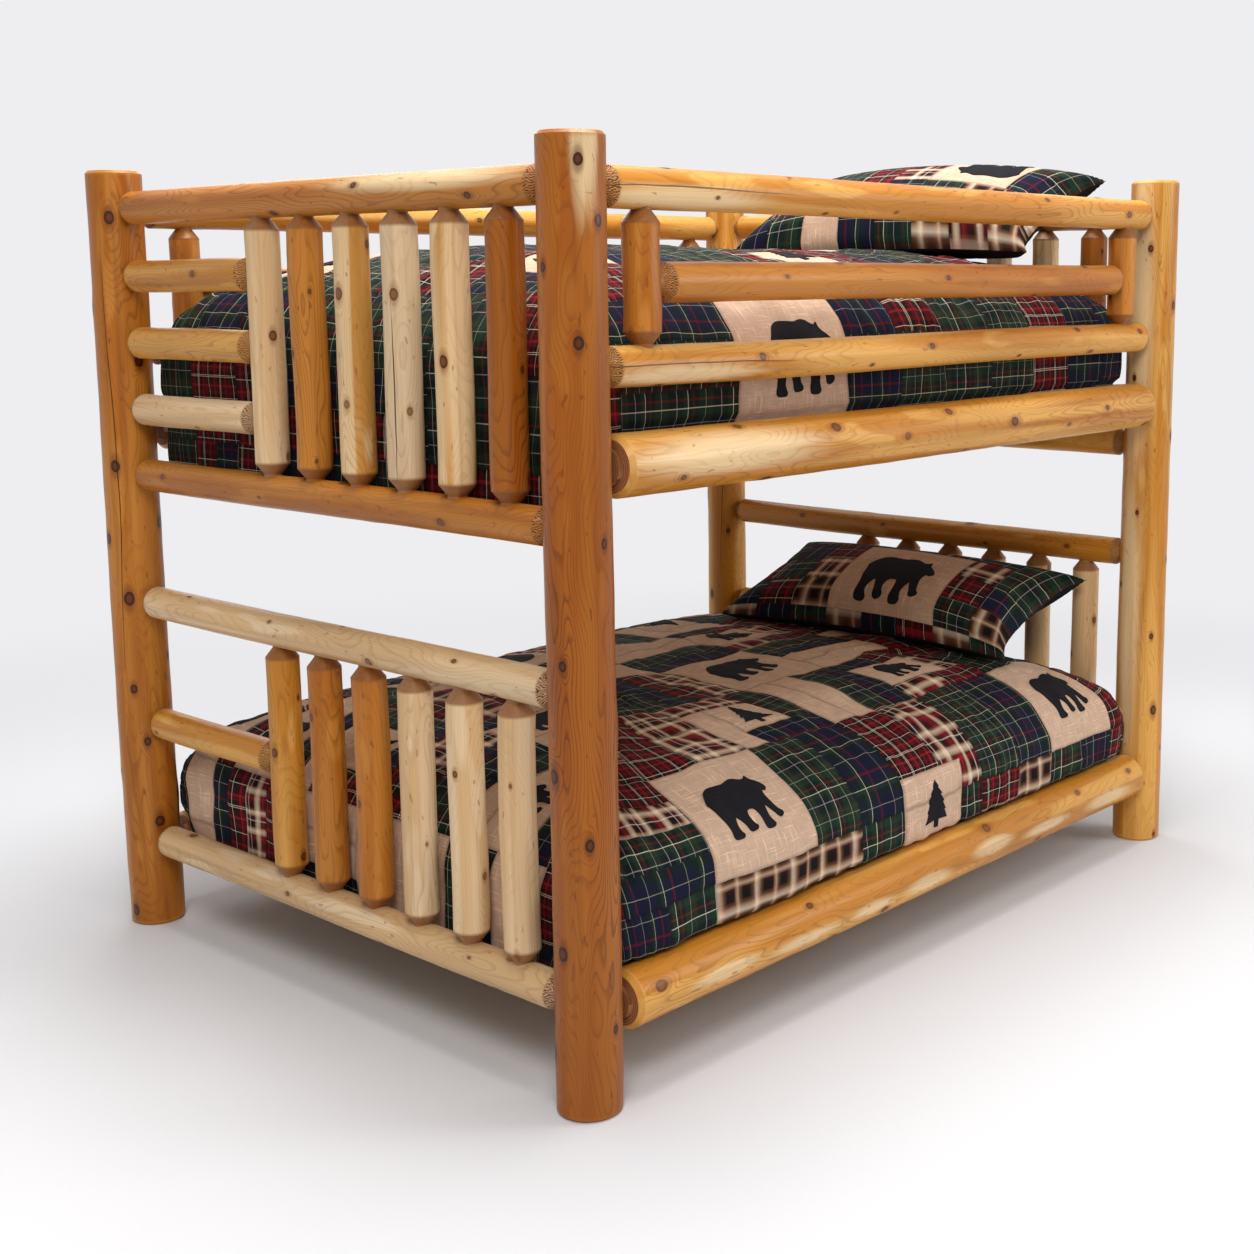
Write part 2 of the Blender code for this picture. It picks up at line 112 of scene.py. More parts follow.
def add_primitive(name: str, operator: Callable, **settings: object) -> Piece:
    """Add a primitive mesh.

    Args:
        name: Name of the piece.
        operator: Operator that adds it.
        **settings: What the operator is told.

    Returns:
        The piece, selected and active.
    """
    bpy.ops.object.select_all(action="DESELECT")
    operator(**settings)
    piece = bpy.context.object
    piece.name = piece.data.name = name
    return piece


@contextmanager
def editing() -> Iterator[None]:
    """Edit the active piece for a while, with everything on it selected.

    Yields:
        Nothing, once the piece is in edit mode.
    """
    bpy.ops.object.mode_set(mode="EDIT")
    bpy.ops.mesh.select_all(action="SELECT")
    yield
    bpy.ops.object.mode_set(mode="OBJECT")


def read_each(items: Items, name: str, width: int = 1, kind: type = float) -> np.ndarray:
    """Read a property of every point, face or corner of a mesh.

    Args:
        items: The points, faces or corners.
        name: Name of the property.
        width: How many values it has.
        kind: Kind of the values.

    Returns:
        One value or one row for each.
    """
    values = np.zeros(len(items) * width, dtype=kind)
    items.foreach_get(name, values)
    return values if width == 1 else values.reshape(-1, width)


def points_of(piece: Piece) -> np.ndarray:
    """Places of a piece's points, one row each."""
    return read_each(piece.data.vertices, "co", 3)


def move_points(piece: Piece, places: np.ndarray) -> None:
    """Put a piece's points at new places."""
    piece.data.vertices.foreach_set("co", places.ravel())
    piece.data.update()


@dataclass
class Wire:
    """A node's output that sums can be written with."""

    board: "NodeBoard"
    socket: Socket

    def __add__(self, other: "Wire | float") -> "Wire":
        """This and another value."""
        return self.board.math("ADD", self, other)

    def __sub__(self, other: "Wire | float") -> "Wire":
        """This less another value."""
        return self.board.math("SUBTRACT", self, other)

    def __rsub__(self, other: float) -> "Wire":
        """A plain value less this."""
        return self.board.math("SUBTRACT", other, self)

    def __mul__(self, other: "Wire | float") -> "Wire":
        """This times another value."""
        return self.board.math("MULTIPLY", self, other)

    def __abs__(self) -> "Wire":
        """This without its sign."""
        return self.board.math("ABSOLUTE", self)

    def fraction(self) -> "Wire":
        """What is left of this after its whole part."""
        return self.board.math("FRACT", self)

    def ease(self, low: float, high: float) -> "Wire":
        """Ease this smoothly from 0 at low to 1 at high.

        Args:
            low: Where the result is 0.
            high: Where the result is 1, above or below low.

        Returns:
            The eased value.
        """
        inputs = {"Value": self, "From Min": min(low, high), "From Max": max(low, high)}
        inputs |= {"To Min": float(low > high), "To Max": float(low < high)}
        return self.board.wire("MapRange", inputs, interpolation_type="SMOOTHSTEP")


class NodeBoard:
    """A node tree with short ways to add nodes and wire them."""

    def __init__(self, tree: bpy.types.NodeTree) -> None:
        """Keep the tree to draw on."""
        self.tree = tree

    def feed(self, node: bpy.types.Node, inputs: dict) -> None:
        """Fill the inputs of a node.

        Args:
            node: The node.
            inputs: Wires to link or plain values to set, by name or index.
        """
        for key, value in inputs.items():
            socket = node.inputs[key]
            if isinstance(value, Wire):
                self.tree.links.new(value.socket, socket)
            else:
                socket.default_value = (*value, 1.0) if socket.type == "RGBA" else value

    def add(self, kind: str, inputs: dict | None = None, **settings: object) -> bpy.types.Node:
        """Add a node.

        Args:
            kind: Node type without its ShaderNode prefix.
            inputs: Wires or values for its inputs, by name or index.
            **settings: Properties of the node.

        Returns:
            The new node.
        """
        node = self.tree.nodes.new("ShaderNode" + kind)
        for name, value in settings.items():
            setattr(node, name, value)
        self.feed(node, inputs or {})
        return node

    def wire(self, kind: str, inputs: dict | None = None, out: int | str = 0, **settings: object) -> Wire:
        """Add a node as add does, and give one of its outputs."""
        return Wire(self, self.add(kind, inputs, **settings).outputs[out])

    def math(self, operation: str, a: Wire | float, b: Wire | float = 0.0) -> Wire:
        """Do a Math node's operation on one or two values."""
        return self.wire("Math", {0: a, 1: b}, operation=operation)

    def mix(self, share: Wire | float, a: Wire | Colour, b: Wire | Colour, blend: str = "MIX") -> Wire:
        """Mix a share of a second colour into a first."""
        return self.wire("Mix", {0: share, 6: a, 7: b}, 2, data_type="RGBA", blend_type=blend)

    def shaded(self, tone: Wire, shade: Wire) -> Wire:
        """Multiply a colour by a value."""
        grey = self.wire("CombineColor", dict.fromkeys(range(3), shade))
        return self.mix(1.0, tone, grey, "MULTIPLY")

    def noise(self, place: Wire, scale: tuple[float, float, float], detail: float = 2.0) -> Wire:
        """Soft noise around one half, with so many waves a metre along each axis."""
        place = self.wire("VectorMath", {0: place, 1: scale}, operation="MULTIPLY")
        return self.wire("TexNoise", {"Vector": place, "Scale": 1.0, "Detail": detail})

    def parts(self, vector: Wire) -> list[Wire]:
        """Split a vector into its three parts."""
        return [Wire(self, part) for part in self.add("SeparateXYZ", {0: vector}).outputs]

    def length(self, a: Wire, b: Wire) -> Wire:
        """Length of a flat vector given by its two parts."""
        return self.math("SQRT", a * a + b * b)

    def read(self, name: str, kind: str) -> Wire:
        """Read values kept on a piece, as a Vector or as a Fac."""
        return self.wire("Attribute", None, kind, attribute_name=name, attribute_type="GEOMETRY")


def new_group(name: str, inputs: dict[str, str], outputs: dict[str, str]) -> tuple:
    """Start a shader node group.

    Args:
        name: Name of the group.
        inputs: Socket kinds by input name.
        outputs: Socket kinds by output name.

    Returns:
        Its board, its inputs as wires by name and its output node.
    """
    group = bpy.data.node_groups.new(name, "ShaderNodeTree")
    for direction, sockets in (("INPUT", inputs), ("OUTPUT", outputs)):
        for label, kind in sockets.items():
            group.interface.new_socket(label, in_out=direction, socket_type="NodeSocket" + kind)
    board = NodeBoard(group)
    entry = group.nodes.new("NodeGroupInput")
    given = {name: Wire(board, entry.outputs[name]) for name in inputs}
    return board, given, group.nodes.new("NodeGroupOutput")


def new_material(name: str) -> tuple[bpy.types.Material, NodeBoard, bpy.types.Node]:
    """Start a material.

    Args:
        name: Name of the material.

    Returns:
        The material, its board and its principled shader.
    """
    material = bpy.data.materials.new(name)
    material.use_nodes = True
    board = NodeBoard(material.node_tree)
    return material, board, material.node_tree.nodes["Principled BSDF"]


class Tone(Enum):
    """Tones of the peeled logs."""

    HONEY = "honey_log"
    GOLDEN = "golden_log"
    AMBER = "amber_log"
    CREAM = "cream_log"
    PALE = "pale_log"


@dataclass(frozen=True)
class LogFinish:
    """The varnished surface of one tone of log."""

    tone: Tone
    pale: Colour
    warm: Colour
    dark: Colour
    patches: float
    rings: float

    ROUGHNESS = 0.40
    SHINE = 0.28
    SHINE_TINT = (1.0, 0.86, 0.64)
    COAT = 0.13
    COAT_ROUGHNESS = 0.18
    BUMP = 0.0011
    BUMP_STRENGTH = 0.7

    @cache
    def material(self) -> bpy.types.Material:
        """Make the material once, and give it out again after that.

        Returns:
            The material.
        """
        made, board, shader = new_material(self.tone.value + "_finish")
        inputs = {name.title(): board.read(name, "Vector") for name in ("grain", "knot", "cut", "split")}
        inputs |= {"Pared": board.read("pared", "Fac"), "Patches": self.patches, "Rings": self.rings}
        inputs |= {"Pale": self.pale, "Warm": self.warm, "Dark": self.dark}
        grain = board.add("Group", inputs, node_tree=log_grain())
        colour, roughness, height = (Wire(board, grain.outputs[n]) for n in ("Color", "Roughness", "Height"))
        bump = {"Strength": self.BUMP_STRENGTH, "Distance": self.BUMP, "Height": height}
        board.feed(shader, {"Base Color": colour, "Roughness": roughness, "Normal": board.wire("Bump", bump)})
        board.feed(shader, {"Specular IOR Level": self.SHINE, "Specular Tint": self.SHINE_TINT})
        board.feed(shader, {"Coat Weight": self.COAT, "Coat Roughness": self.COAT_ROUGHNESS})
        return made


@cache
def log_grain() -> bpy.types.NodeTree:
    """The grain, knots, tool marks with painted shade in their grooves, and checks that every log shows.

    Returns:
        The node group, built once.
    """
    inputs = dict.fromkeys(("Grain", "Knot", "Cut", "Split"), "Vector")
    inputs |= dict.fromkeys(("Pale", "Warm", "Dark"), "Color")
    inputs |= dict.fromkeys(("Patches", "Rings", "Pared"), "Float")
    outputs = {"Color": "Color", "Roughness": "Float", "Height": "Float"}
    board, given, leave = new_group("log_grain", inputs, outputs)
    grain, pale, dark = given["Grain"], given["Pale"], given["Dark"]
    across, aside, along = board.parts(grain)
    reach = board.length(across, aside)
    knot_along, knot_aside, knot_near = board.parts(given["Knot"])
    knot_eye = board.length(knot_along * 0.45, knot_aside)
    knot_round = board.length(knot_along * 0.74, knot_aside)

    # Growth rings, cut at a slant by the waves of the peeled surface, and drawn round the knots
    drift = board.noise(grain, (8.0, 8.0, 1.5))
    shiver = board.noise(grain, (60.0, 60.0, 9.0), 1.0)
    swirl = knot_eye.ease(2.4, 0.6) * knot_near
    ring = (reach * 260.0 + drift * 38.0 + shiver * 0.6 + swirl * 2.2).fraction()
    late = ring.ease(0.56, 0.93) * ring.ease(1.0, 0.95)

    # Long streaks, fine fibres and the bands where the knife went down to the sapwood
    fibre = board.noise(grain, (330.0, 330.0, 6.0), 3.0)
    streak = board.noise(grain, (42.0, 42.0, 0.9), 3.0)
    shown = board.noise(grain, (7.0, 7.0, 1.2), 1.0).ease(0.42, 0.68)
    band = board.noise(grain, (17.0, 17.0, 1.0), 1.5).ease(0.44, 0.58)
    fleck = board.noise(grain, (21.0, 21.0, 4.4), 1.0).ease(0.60, 0.69)
    patch = board.math("MAXIMUM", band, fleck) * given["Patches"]
    tone = board.mix(patch, given["Warm"], pale)
    pared = (given["Pared"] + (streak - 0.5) * 0.6).ease(-0.12, 0.56)
    tone = board.mix(pared * 0.86, tone, srgb(234, 204, 156))
    tone = board.mix(streak.ease(0.50, 0.78) * 0.36, tone, dark)
    tone = board.mix(late * given["Rings"] * (shown * 0.65 + 0.35) * (1.0 - pared * 0.7), tone, dark)
    speck = board.noise(grain, (95.0, 95.0, 34.0), 1.0).ease(0.70, 0.76)
    tone = board.mix(speck * 0.5, tone, dark)
    tone = board.shaded(tone, fibre * 0.26 + 0.78 + drift.ease(0.3, 0.7) * 0.18)

    # Knots: a warm halo, a dark reddish rim and a brown heart
    tone = board.mix(knot_eye.ease(1.7, 0.7) * knot_near * 0.6, tone, dark)
    heart_reach = knot_round + (shiver - 0.5) * 0.6
    heart = heart_reach.ease(1.06, 0.94) * knot_near
    core = board.mix(0.5, srgb(92, 40, 18), dark)
    bark = board.mix(0.25, srgb(16, 4, 2), dark)
    tone = board.mix(heart, tone, board.mix(heart_reach.ease(0.36, 0.68), core, bark))

    # Cones: crossing tool marks around the log end, with painted shade in their grooves
    cone, sawn, worn = board.parts(given["Cut"])
    chatter = board.noise(grain, (110.0, 110.0, 110.0), 1.0)
    turn = board.math("ARCTAN2", aside, across) * (42 / tau) + chatter * 2.2
    rise = along * 90.0
    left, right = (abs(wave.fraction() - 0.5).ease(0.30, 0.08) for wave in (turn + rise, turn - rise))
    groove = left + chatter.ease(0.44, 0.56) * (right - left)
    # Painted shade: the grooves of the tool marks are coloured dark brown, the ridges between them pale
    chipped_with_groove_shade = board.mix(groove, board.mix(0.60, pale, srgb(160, 104, 58)), srgb(84, 44, 20))
    tone = board.mix(cone, tone, chipped_with_groove_shade)

    # Sawn ends: brown end grain with its rings
    end_ring = (reach * 210.0 + drift).fraction().ease(0.2, 0.9)
    end_grain = board.mix(end_ring, srgb(182, 124, 82), srgb(124, 74, 44))
    tone = board.mix(sawn, tone, board.mix(fibre * 0.4, end_grain, srgb(92, 50, 28)))
    crack_aside, crack_along, turned = board.parts(given["Split"])
    smooth = board.mix(fibre, srgb(104, 58, 26), srgb(156, 98, 50))
    tone = board.mix(turned * 0.85, tone, smooth)
    tone = board.mix(worn * 0.5, tone, pale)

    # Checks: thin dark cracks along the log
    crooked = abs(crack_aside + (shiver - 0.5) * 0.004)
    crack = board.math("LESS_THAN", crooked, crack_along * 0.0014)
    tone = board.mix(crack * 0.9, tone, srgb(50, 24, 10))

    rough = patch * 0.06 + LogFinish.ROUGHNESS + board.math("MAXIMUM", cone, sawn) * 0.24
    height = late * -0.10 + fibre * 0.10 + heart * -0.25 - groove * cone * 0.9 - crack * 1.2
    board.feed(leave, {"Color": tone, "Roughness": rough, "Height": height})
    return board.tree


LOG_FINISHES = {
    finish.tone: finish
    for finish in (
        LogFinish(Tone.HONEY, srgb(172, 102, 30), srgb(156, 82, 14), srgb(92, 38, 4), 0.60, 0.82),
        LogFinish(Tone.GOLDEN, srgb(220, 164, 82), srgb(194, 125, 38), srgb(128, 62, 12), 0.85, 0.42),
        LogFinish(Tone.AMBER, srgb(198, 130, 52), srgb(172, 100, 26), srgb(108, 48, 6), 0.70, 0.48),
        LogFinish(Tone.CREAM, srgb(227, 198, 158), srgb(213, 175, 126), srgb(150, 94, 42), 0.92, 0.28),
        LogFinish(Tone.PALE, srgb(224, 190, 142), srgb(196, 138, 64), srgb(136, 74, 24), 0.98, 0.34),
    )
}


def keep_values(piece: Piece, name: str, values: np.ndarray) -> None:
    """Keep a value or a vector for every point of a piece, for its finish to read.

    Args:
        piece: The piece.
        name: Name of the values.
        values: One value or one row of three for each point.
    """
    kind, key = ("FLOAT", "value") if values.ndim == 1 else ("FLOAT_VECTOR", "vector")
    kept = piece.data.attributes.new(name, kind, "POINT")
    kept.data.foreach_set(key, values.astype(np.float32).ravel())


class EndKind(Enum):
    """Ways a log can end."""

    CONE = "cone with tool marks, running into its mortise"
    TURNED = "smooth cone, running into its mortise"
    SAWN = "square saw cut with an eased rim"
    FREE = "square saw cut with no tenon"


@dataclass(frozen=True)
class LogEnd:
    """Sizes of one worked log end."""

    kind: EndKind
    tenon: float
    tenon_length: float
    lead: float

    SEATED = 0.010

    def outline(self, radius: float) -> list[tuple[float, float]]:
        """Points of the end from its middle out to the round of the log.

        Args:
            radius: Radius of the log.

        Returns:
            Pairs of radius and distance from the solid's tip.
        """
        if self.kind is EndKind.FREE:
            return [(0.0, 0.0), (radius - self.lead, 0.0), (radius, self.lead)]
        tip = self.tenon_length - self.SEATED
        points = [(0.0, tip), (self.tenon, tip), (self.tenon, self.tenon_length)]
        if self.kind is EndKind.SAWN:
            points.append((radius - self.lead, self.tenon_length))
        points.append((radius, self.tenon_length + self.lead))
        return points


@dataclass
class Check:
    """A drying crack along a log."""

    angle: float
    middle: float
    length: float

    WANDER = 0.10
    REACH = 0.02


@dataclass
class Pared:
    """A pale oval along a log, where the drawknife went down to the sapwood."""

    angle: float
    middle: float
    length: float
    width: float


@dataclass
class Log:
    """A peeled log, from its drawn profile to its finished surface."""

    name: str
    node: str
    start: Vector
    stop: Vector
    radius: float
    ends: tuple[LogEnd, LogEnd]
    tone: Tone
    seed: int
    segments: int = 56
    ring_step: float = 0.0075
    bow: float = 0.0009
    taper: float = 0.02
    knot_radius: float = 0.0068
    knot_pitch: float = 0.12
    knot_fade: float = 0.35
    facets: int = 0
    checks: list[Check] = field(default_factory=list)
    pared: list[Pared] = field(default_factory=list)

    OVAL = 0.008
    WAVES = ((2, 0.005), (3, 0.004), (5, 0.003))
    RIPPLES = ((0.31, 0.005), (0.13, 0.003))
    FLAT_DEPTH = 0.035
    CONE_WAVE = 0.03
    KNOT_TURN = 2.4
    PITH = 0.12
    GRAIN_SHIFT = 3.7
    CLOSE = 1e-4
    SMOOTH_ANGLE = radians(27)

    blanks: ClassVar[dict[tuple, bpy.types.Mesh]] = {}

    @property
    def length(self) -> float:
        """Length of the solid from tip to tip."""
        return (self.stop - self.start).length

    def profile(self) -> list[tuple[float, float]]:
        """Outline of the log from the middle of one end to the middle of the other.

        Returns:
            Pairs of radius and distance from the start.
        """
        first = self.ends[0].outline(self.radius)
        last = [(radius, self.length - out) for radius, out in self.ends[1].outline(self.radius)]
        return first + last[::-1]

    def turn(self) -> Piece:
        """Draw the profile by extruding a point, divide it and spin it round, once for all logs alike.

        Returns:
            The turned blank, along Z from the origin.
        """
        likeness = (round(self.length, 5), self.radius, self.ends, self.segments)
        if likeness in self.blanks:
            return add_piece(self.name, self.blanks[likeness].copy())
        blank = add_primitive(self.name, bpy.ops.mesh.primitive_plane_add, size=self.radius)
        with editing():
            bpy.ops.mesh.merge(type="CENTER")
            points = [Vector((radius, 0.0, height)) for radius, height in self.profile()]
            bpy.ops.transform.translate(value=points[0])
            for here, there in zip(points, points[1:]):
                bpy.ops.mesh.extrude_region_move(TRANSFORM_OT_translate={"value": there - here})
            self.divide(blank, lambda a, b: min(a.x, b.x) > self.radius - MERGE, self.length / self.ring_step)
            self.divide(blank, lambda a, b: min(abs(a.x - b.x), abs(a.z - b.z)) > self.CLOSE, 12)
            self.divide(blank, lambda a, b: abs(a.x - b.x) > 0.004 and abs(a.z - b.z) < MERGE, 8)
            bpy.ops.mesh.select_all(action="SELECT")
            bpy.ops.mesh.spin(steps=self.segments, angle=tau, center=(0, 0, 0), axis=(0, 0, 1))
            bpy.ops.mesh.select_all(action="SELECT")
            bpy.ops.mesh.remove_doubles(threshold=MERGE)
            bpy.ops.mesh.normals_make_consistent(inside=False)
        self.blanks[likeness] = blank.data.copy()
        return blank

    def divide(self, blank: Piece, wanted: Callable[[Vector, Vector], bool], count: float) -> None:
        """Cut the wanted edges of the profile into short ones.

        Args:
            blank: The profile, in edit mode.
            wanted: Tells from its two ends whether an edge is cut.
            count: About how many pieces an edge becomes.
        """
        coarse = max(1, round(count**0.5) - 1)
        for cuts in (coarse, max(1, round(count / (coarse + 1)) - 1)):
            bpy.ops.mesh.select_all(action="DESELECT")
            shape = bmesh.from_edit_mesh(blank.data)
            for edge in shape.edges:
                edge.select_set(wanted(edge.verts[0].co, edge.verts[1].co))
            bmesh.update_edit_mesh(blank.data)
            bpy.ops.mesh.subdivide(number_cuts=cuts)

    def grown(self, draw: np.random.Generator, angle: np.ndarray, z: np.ndarray) -> np.ndarray:
        """Taper, oval section, waves and hewn flats of the round part.

        Args:
            draw: Random draws of this log.
            angle: Angle round the log of each point.
            z: Place along the log of each point.

        Returns:
            What the radius is multiplied by.
        """
        grown = 1 + self.taper * (0.5 - z / self.length)
        grown += self.OVAL * np.cos(2 * angle + draw.uniform(0, tau))
        for waves, height in self.WAVES:
            grown += height * np.sin(waves * angle + draw.uniform(3, 9) * z + draw.uniform(0, tau))
        for pitch, height in self.RIPPLES:
            phase = tau * z / pitch + draw.uniform(0, tau)
            grown += height * np.sin(phase + np.sin(angle + draw.uniform(0, tau)))
        if self.facets:
            flat = (angle * self.facets / tau + 0.25 * np.sin(9 * z)) % 1 - 0.5
            grown *= 1 - self.FLAT_DEPTH * (0.25 - flat**2) * 4
        return grown

    def knots(self, draw: np.random.Generator) -> list[tuple[float, float, float]]:
        """Scatter knots along the log.

        Args:
            draw: Random draws of this log.

        Returns:
            Place along, angle round and radius of each knot.
        """
        count = max(1, round(self.length / self.knot_pitch))
        places = (np.arange(count) + draw.uniform(0.2, 0.8, count)) * self.length / count
        angles = draw.uniform(-pi, pi) + np.arange(count) * self.KNOT_TURN + draw.uniform(-0.7, 0.7, count)
        sizes = self.knot_radius * draw.uniform(0.5, 1.3, count)
        return list(zip(places, turn_from(angles, 0.0), sizes))

    def knotted(self, draw: np.random.Generator, angle: np.ndarray, z: np.ndarray) -> tuple:
        """Let knots stand a little proud, and note the nearest one.

        Args:
            draw: Random draws of this log.
            angle: Angle round the log of each point.
            z: Place along the log of each point.

        Returns:
            What they add to the radius as a share of it, and for each point its place from the nearest knot,
            in knot radii, with how strongly that knot shows.
        """
        swell = np.zeros(len(z))
        knot = np.zeros((len(z), 3))
        nearest = np.full(len(z), np.inf)
        for place, at_angle, size in self.knots(draw):
            aside = self.radius * turn_from(angle, at_angle) / size
            along = (z - place) / size
            gap = np.hypot(aside, along)
            proud = draw.uniform(0.04, 0.22) * size / self.radius
            swell += proud * np.exp(-((aside / 2.2) ** 2) - (along / 3.2) ** 2)
            closer = gap < nearest
            nearest[closer] = gap[closer]
            depth = 1 - self.knot_fade * ((37 * place + 5 * at_angle) % 1)
            knot[closer] = np.stack([along, aside, depth * smooth_step(gap, 6.5, 5.0)], 1)[closer]
        return swell, knot

    def worked(self, radius: np.ndarray, z: np.ndarray) -> np.ndarray:
        """Say which points lie on the worked ends.

        Args:
            radius: Distance of each point from the axis.
            z: Place along the log of each point.

        Returns:
            Rows of 0 and 1 for a cone, a saw cut, its rim and a turned cone.
        """
        marks = np.zeros((4, len(z)))
        for end, out in ((self.ends[0], z), (self.ends[1], self.length - z)):
            close = out < end.tenon_length + end.lead + self.CLOSE
            if end.kind in (EndKind.CONE, EndKind.TURNED):
                row = 0 if end.kind is EndKind.CONE else 3
                marks[row, close & (radius < self.radius * 1.001)] = 1.0
            else:
                flat_reach = self.radius - end.lead
                marks[1, close & (radius < flat_reach + self.CLOSE)] = 1.0
                marks[2, close & (radius >= flat_reach - self.CLOSE)] = 1.0
        return marks

    def shape(self, blank: Piece) -> None:
        """Give the blank its bow, taper, waves, knots and tool marks, and note them for the finish.

        Args:
            blank: The turned blank, along Z.
        """
        draw = np.random.default_rng(self.seed)
        x, y, z = points_of(blank).T
        radius = np.hypot(x, y)
        angle = np.arctan2(y, x)
        share = z / self.length
        round_part = smooth_step(radius / self.radius, 0.90, 0.999)
        inner = smooth_step(z, 0.02, 0.10) * smooth_step(self.length - z, 0.02, 0.10)
        grown = 1 + (self.grown(draw, angle, z) - 1) * round_part * (0.35 + 0.65 * inner)
        swell, knot = self.knotted(draw, angle, z)
        grown += swell * round_part * inner

        # Cones are cut unevenly
        cone, sawn, rim, turned = self.worked(radius, z)
        grown += cone * (1 - round_part) * self.CONE_WAVE * np.sin(5 * angle + draw.uniform(0, tau))

        # The bow shifts the axis, and dies out at the tenons
        bows = draw.normal(0, self.bow, (2, 2))
        shift_x, shift_y = inner * (bows @ np.stack([np.sin(pi * share), np.sin(tau * share)]))
        move_points(blank, np.stack([x * grown + shift_x, y * grown + shift_y, z], 1))
        pith = draw.uniform(-self.PITH, self.PITH, 2) * self.radius
        grain = np.stack([x * grown - pith[0], y * grown - pith[1], z + self.GRAIN_SHIFT * self.seed], 1)
        keep_values(blank, "grain", grain)
        keep_values(blank, "knot", knot)
        keep_values(blank, "cut", np.stack([cone, sawn, rim], 1))
        keep_values(blank, "split", np.stack([*self.split(angle, z), turned], 1))
        keep_values(blank, "pared", self.pared_depth(angle, z))

    def pared_depth(self, angle: np.ndarray, z: np.ndarray) -> np.ndarray:
        """Say where the pale ovals lie.

        Args:
            angle: Angle round the log of each point.
            z: Place along the log of each point.

        Returns:
            1 in the middle of an oval, 0 on its edge and less outside it.
        """
        found = np.full(len(z), -1.0)
        for oval in self.pared:
            aside = self.radius * turn_from(angle, oval.angle) / (oval.width / 2)
            along = (z - oval.middle) / (oval.length / 2)
            found = np.maximum(found, 1 - np.hypot(aside, along))
        return found

    def split(self, angle: np.ndarray, z: np.ndarray) -> tuple[np.ndarray, np.ndarray]:
        """Say where the checks run.

        Args:
            angle: Angle round the log of each point.
            z: Place along the log of each point.

        Returns:
            Sideways distance to the nearest check and its opening, for each point.
        """
        aside, opening = np.ones(len(z)), np.zeros(len(z))
        for check in self.checks:
            wander = check.angle + check.WANDER * np.sin(7 * z + check.angle)
            gap = self.radius * turn_from(angle, wander)
            open_here = np.clip(1 - (2 * abs(z - check.middle) / check.length) ** 2, 0, 1)
            close = (abs(gap) < check.REACH) & (open_here > 0)
            aside[close] = gap[close]
            opening[close] = open_here[close]
        return aside, opening

    def build(self) -> Piece:
        """Make the finished log, in place on the frame.

        Returns:
            The piece.
        """
        piece = self.turn()
        self.shape(piece)
        run = self.stop - self.start
        piece.matrix_world = Matrix.Translation(self.start) @ run.to_track_quat("Z", "Y").to_matrix().to_4x4()
        bpy.ops.object.transform_apply()
        bpy.ops.object.shade_smooth_by_angle(angle=self.SMOOTH_ANGLE)
        piece.data.materials.append(LOG_FINISHES[self.tone].material())
        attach(piece, "frame")
        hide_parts(self.node)
        log.info("log %s, %d faces", piece.name, len(piece.data.polygons))
        return piece


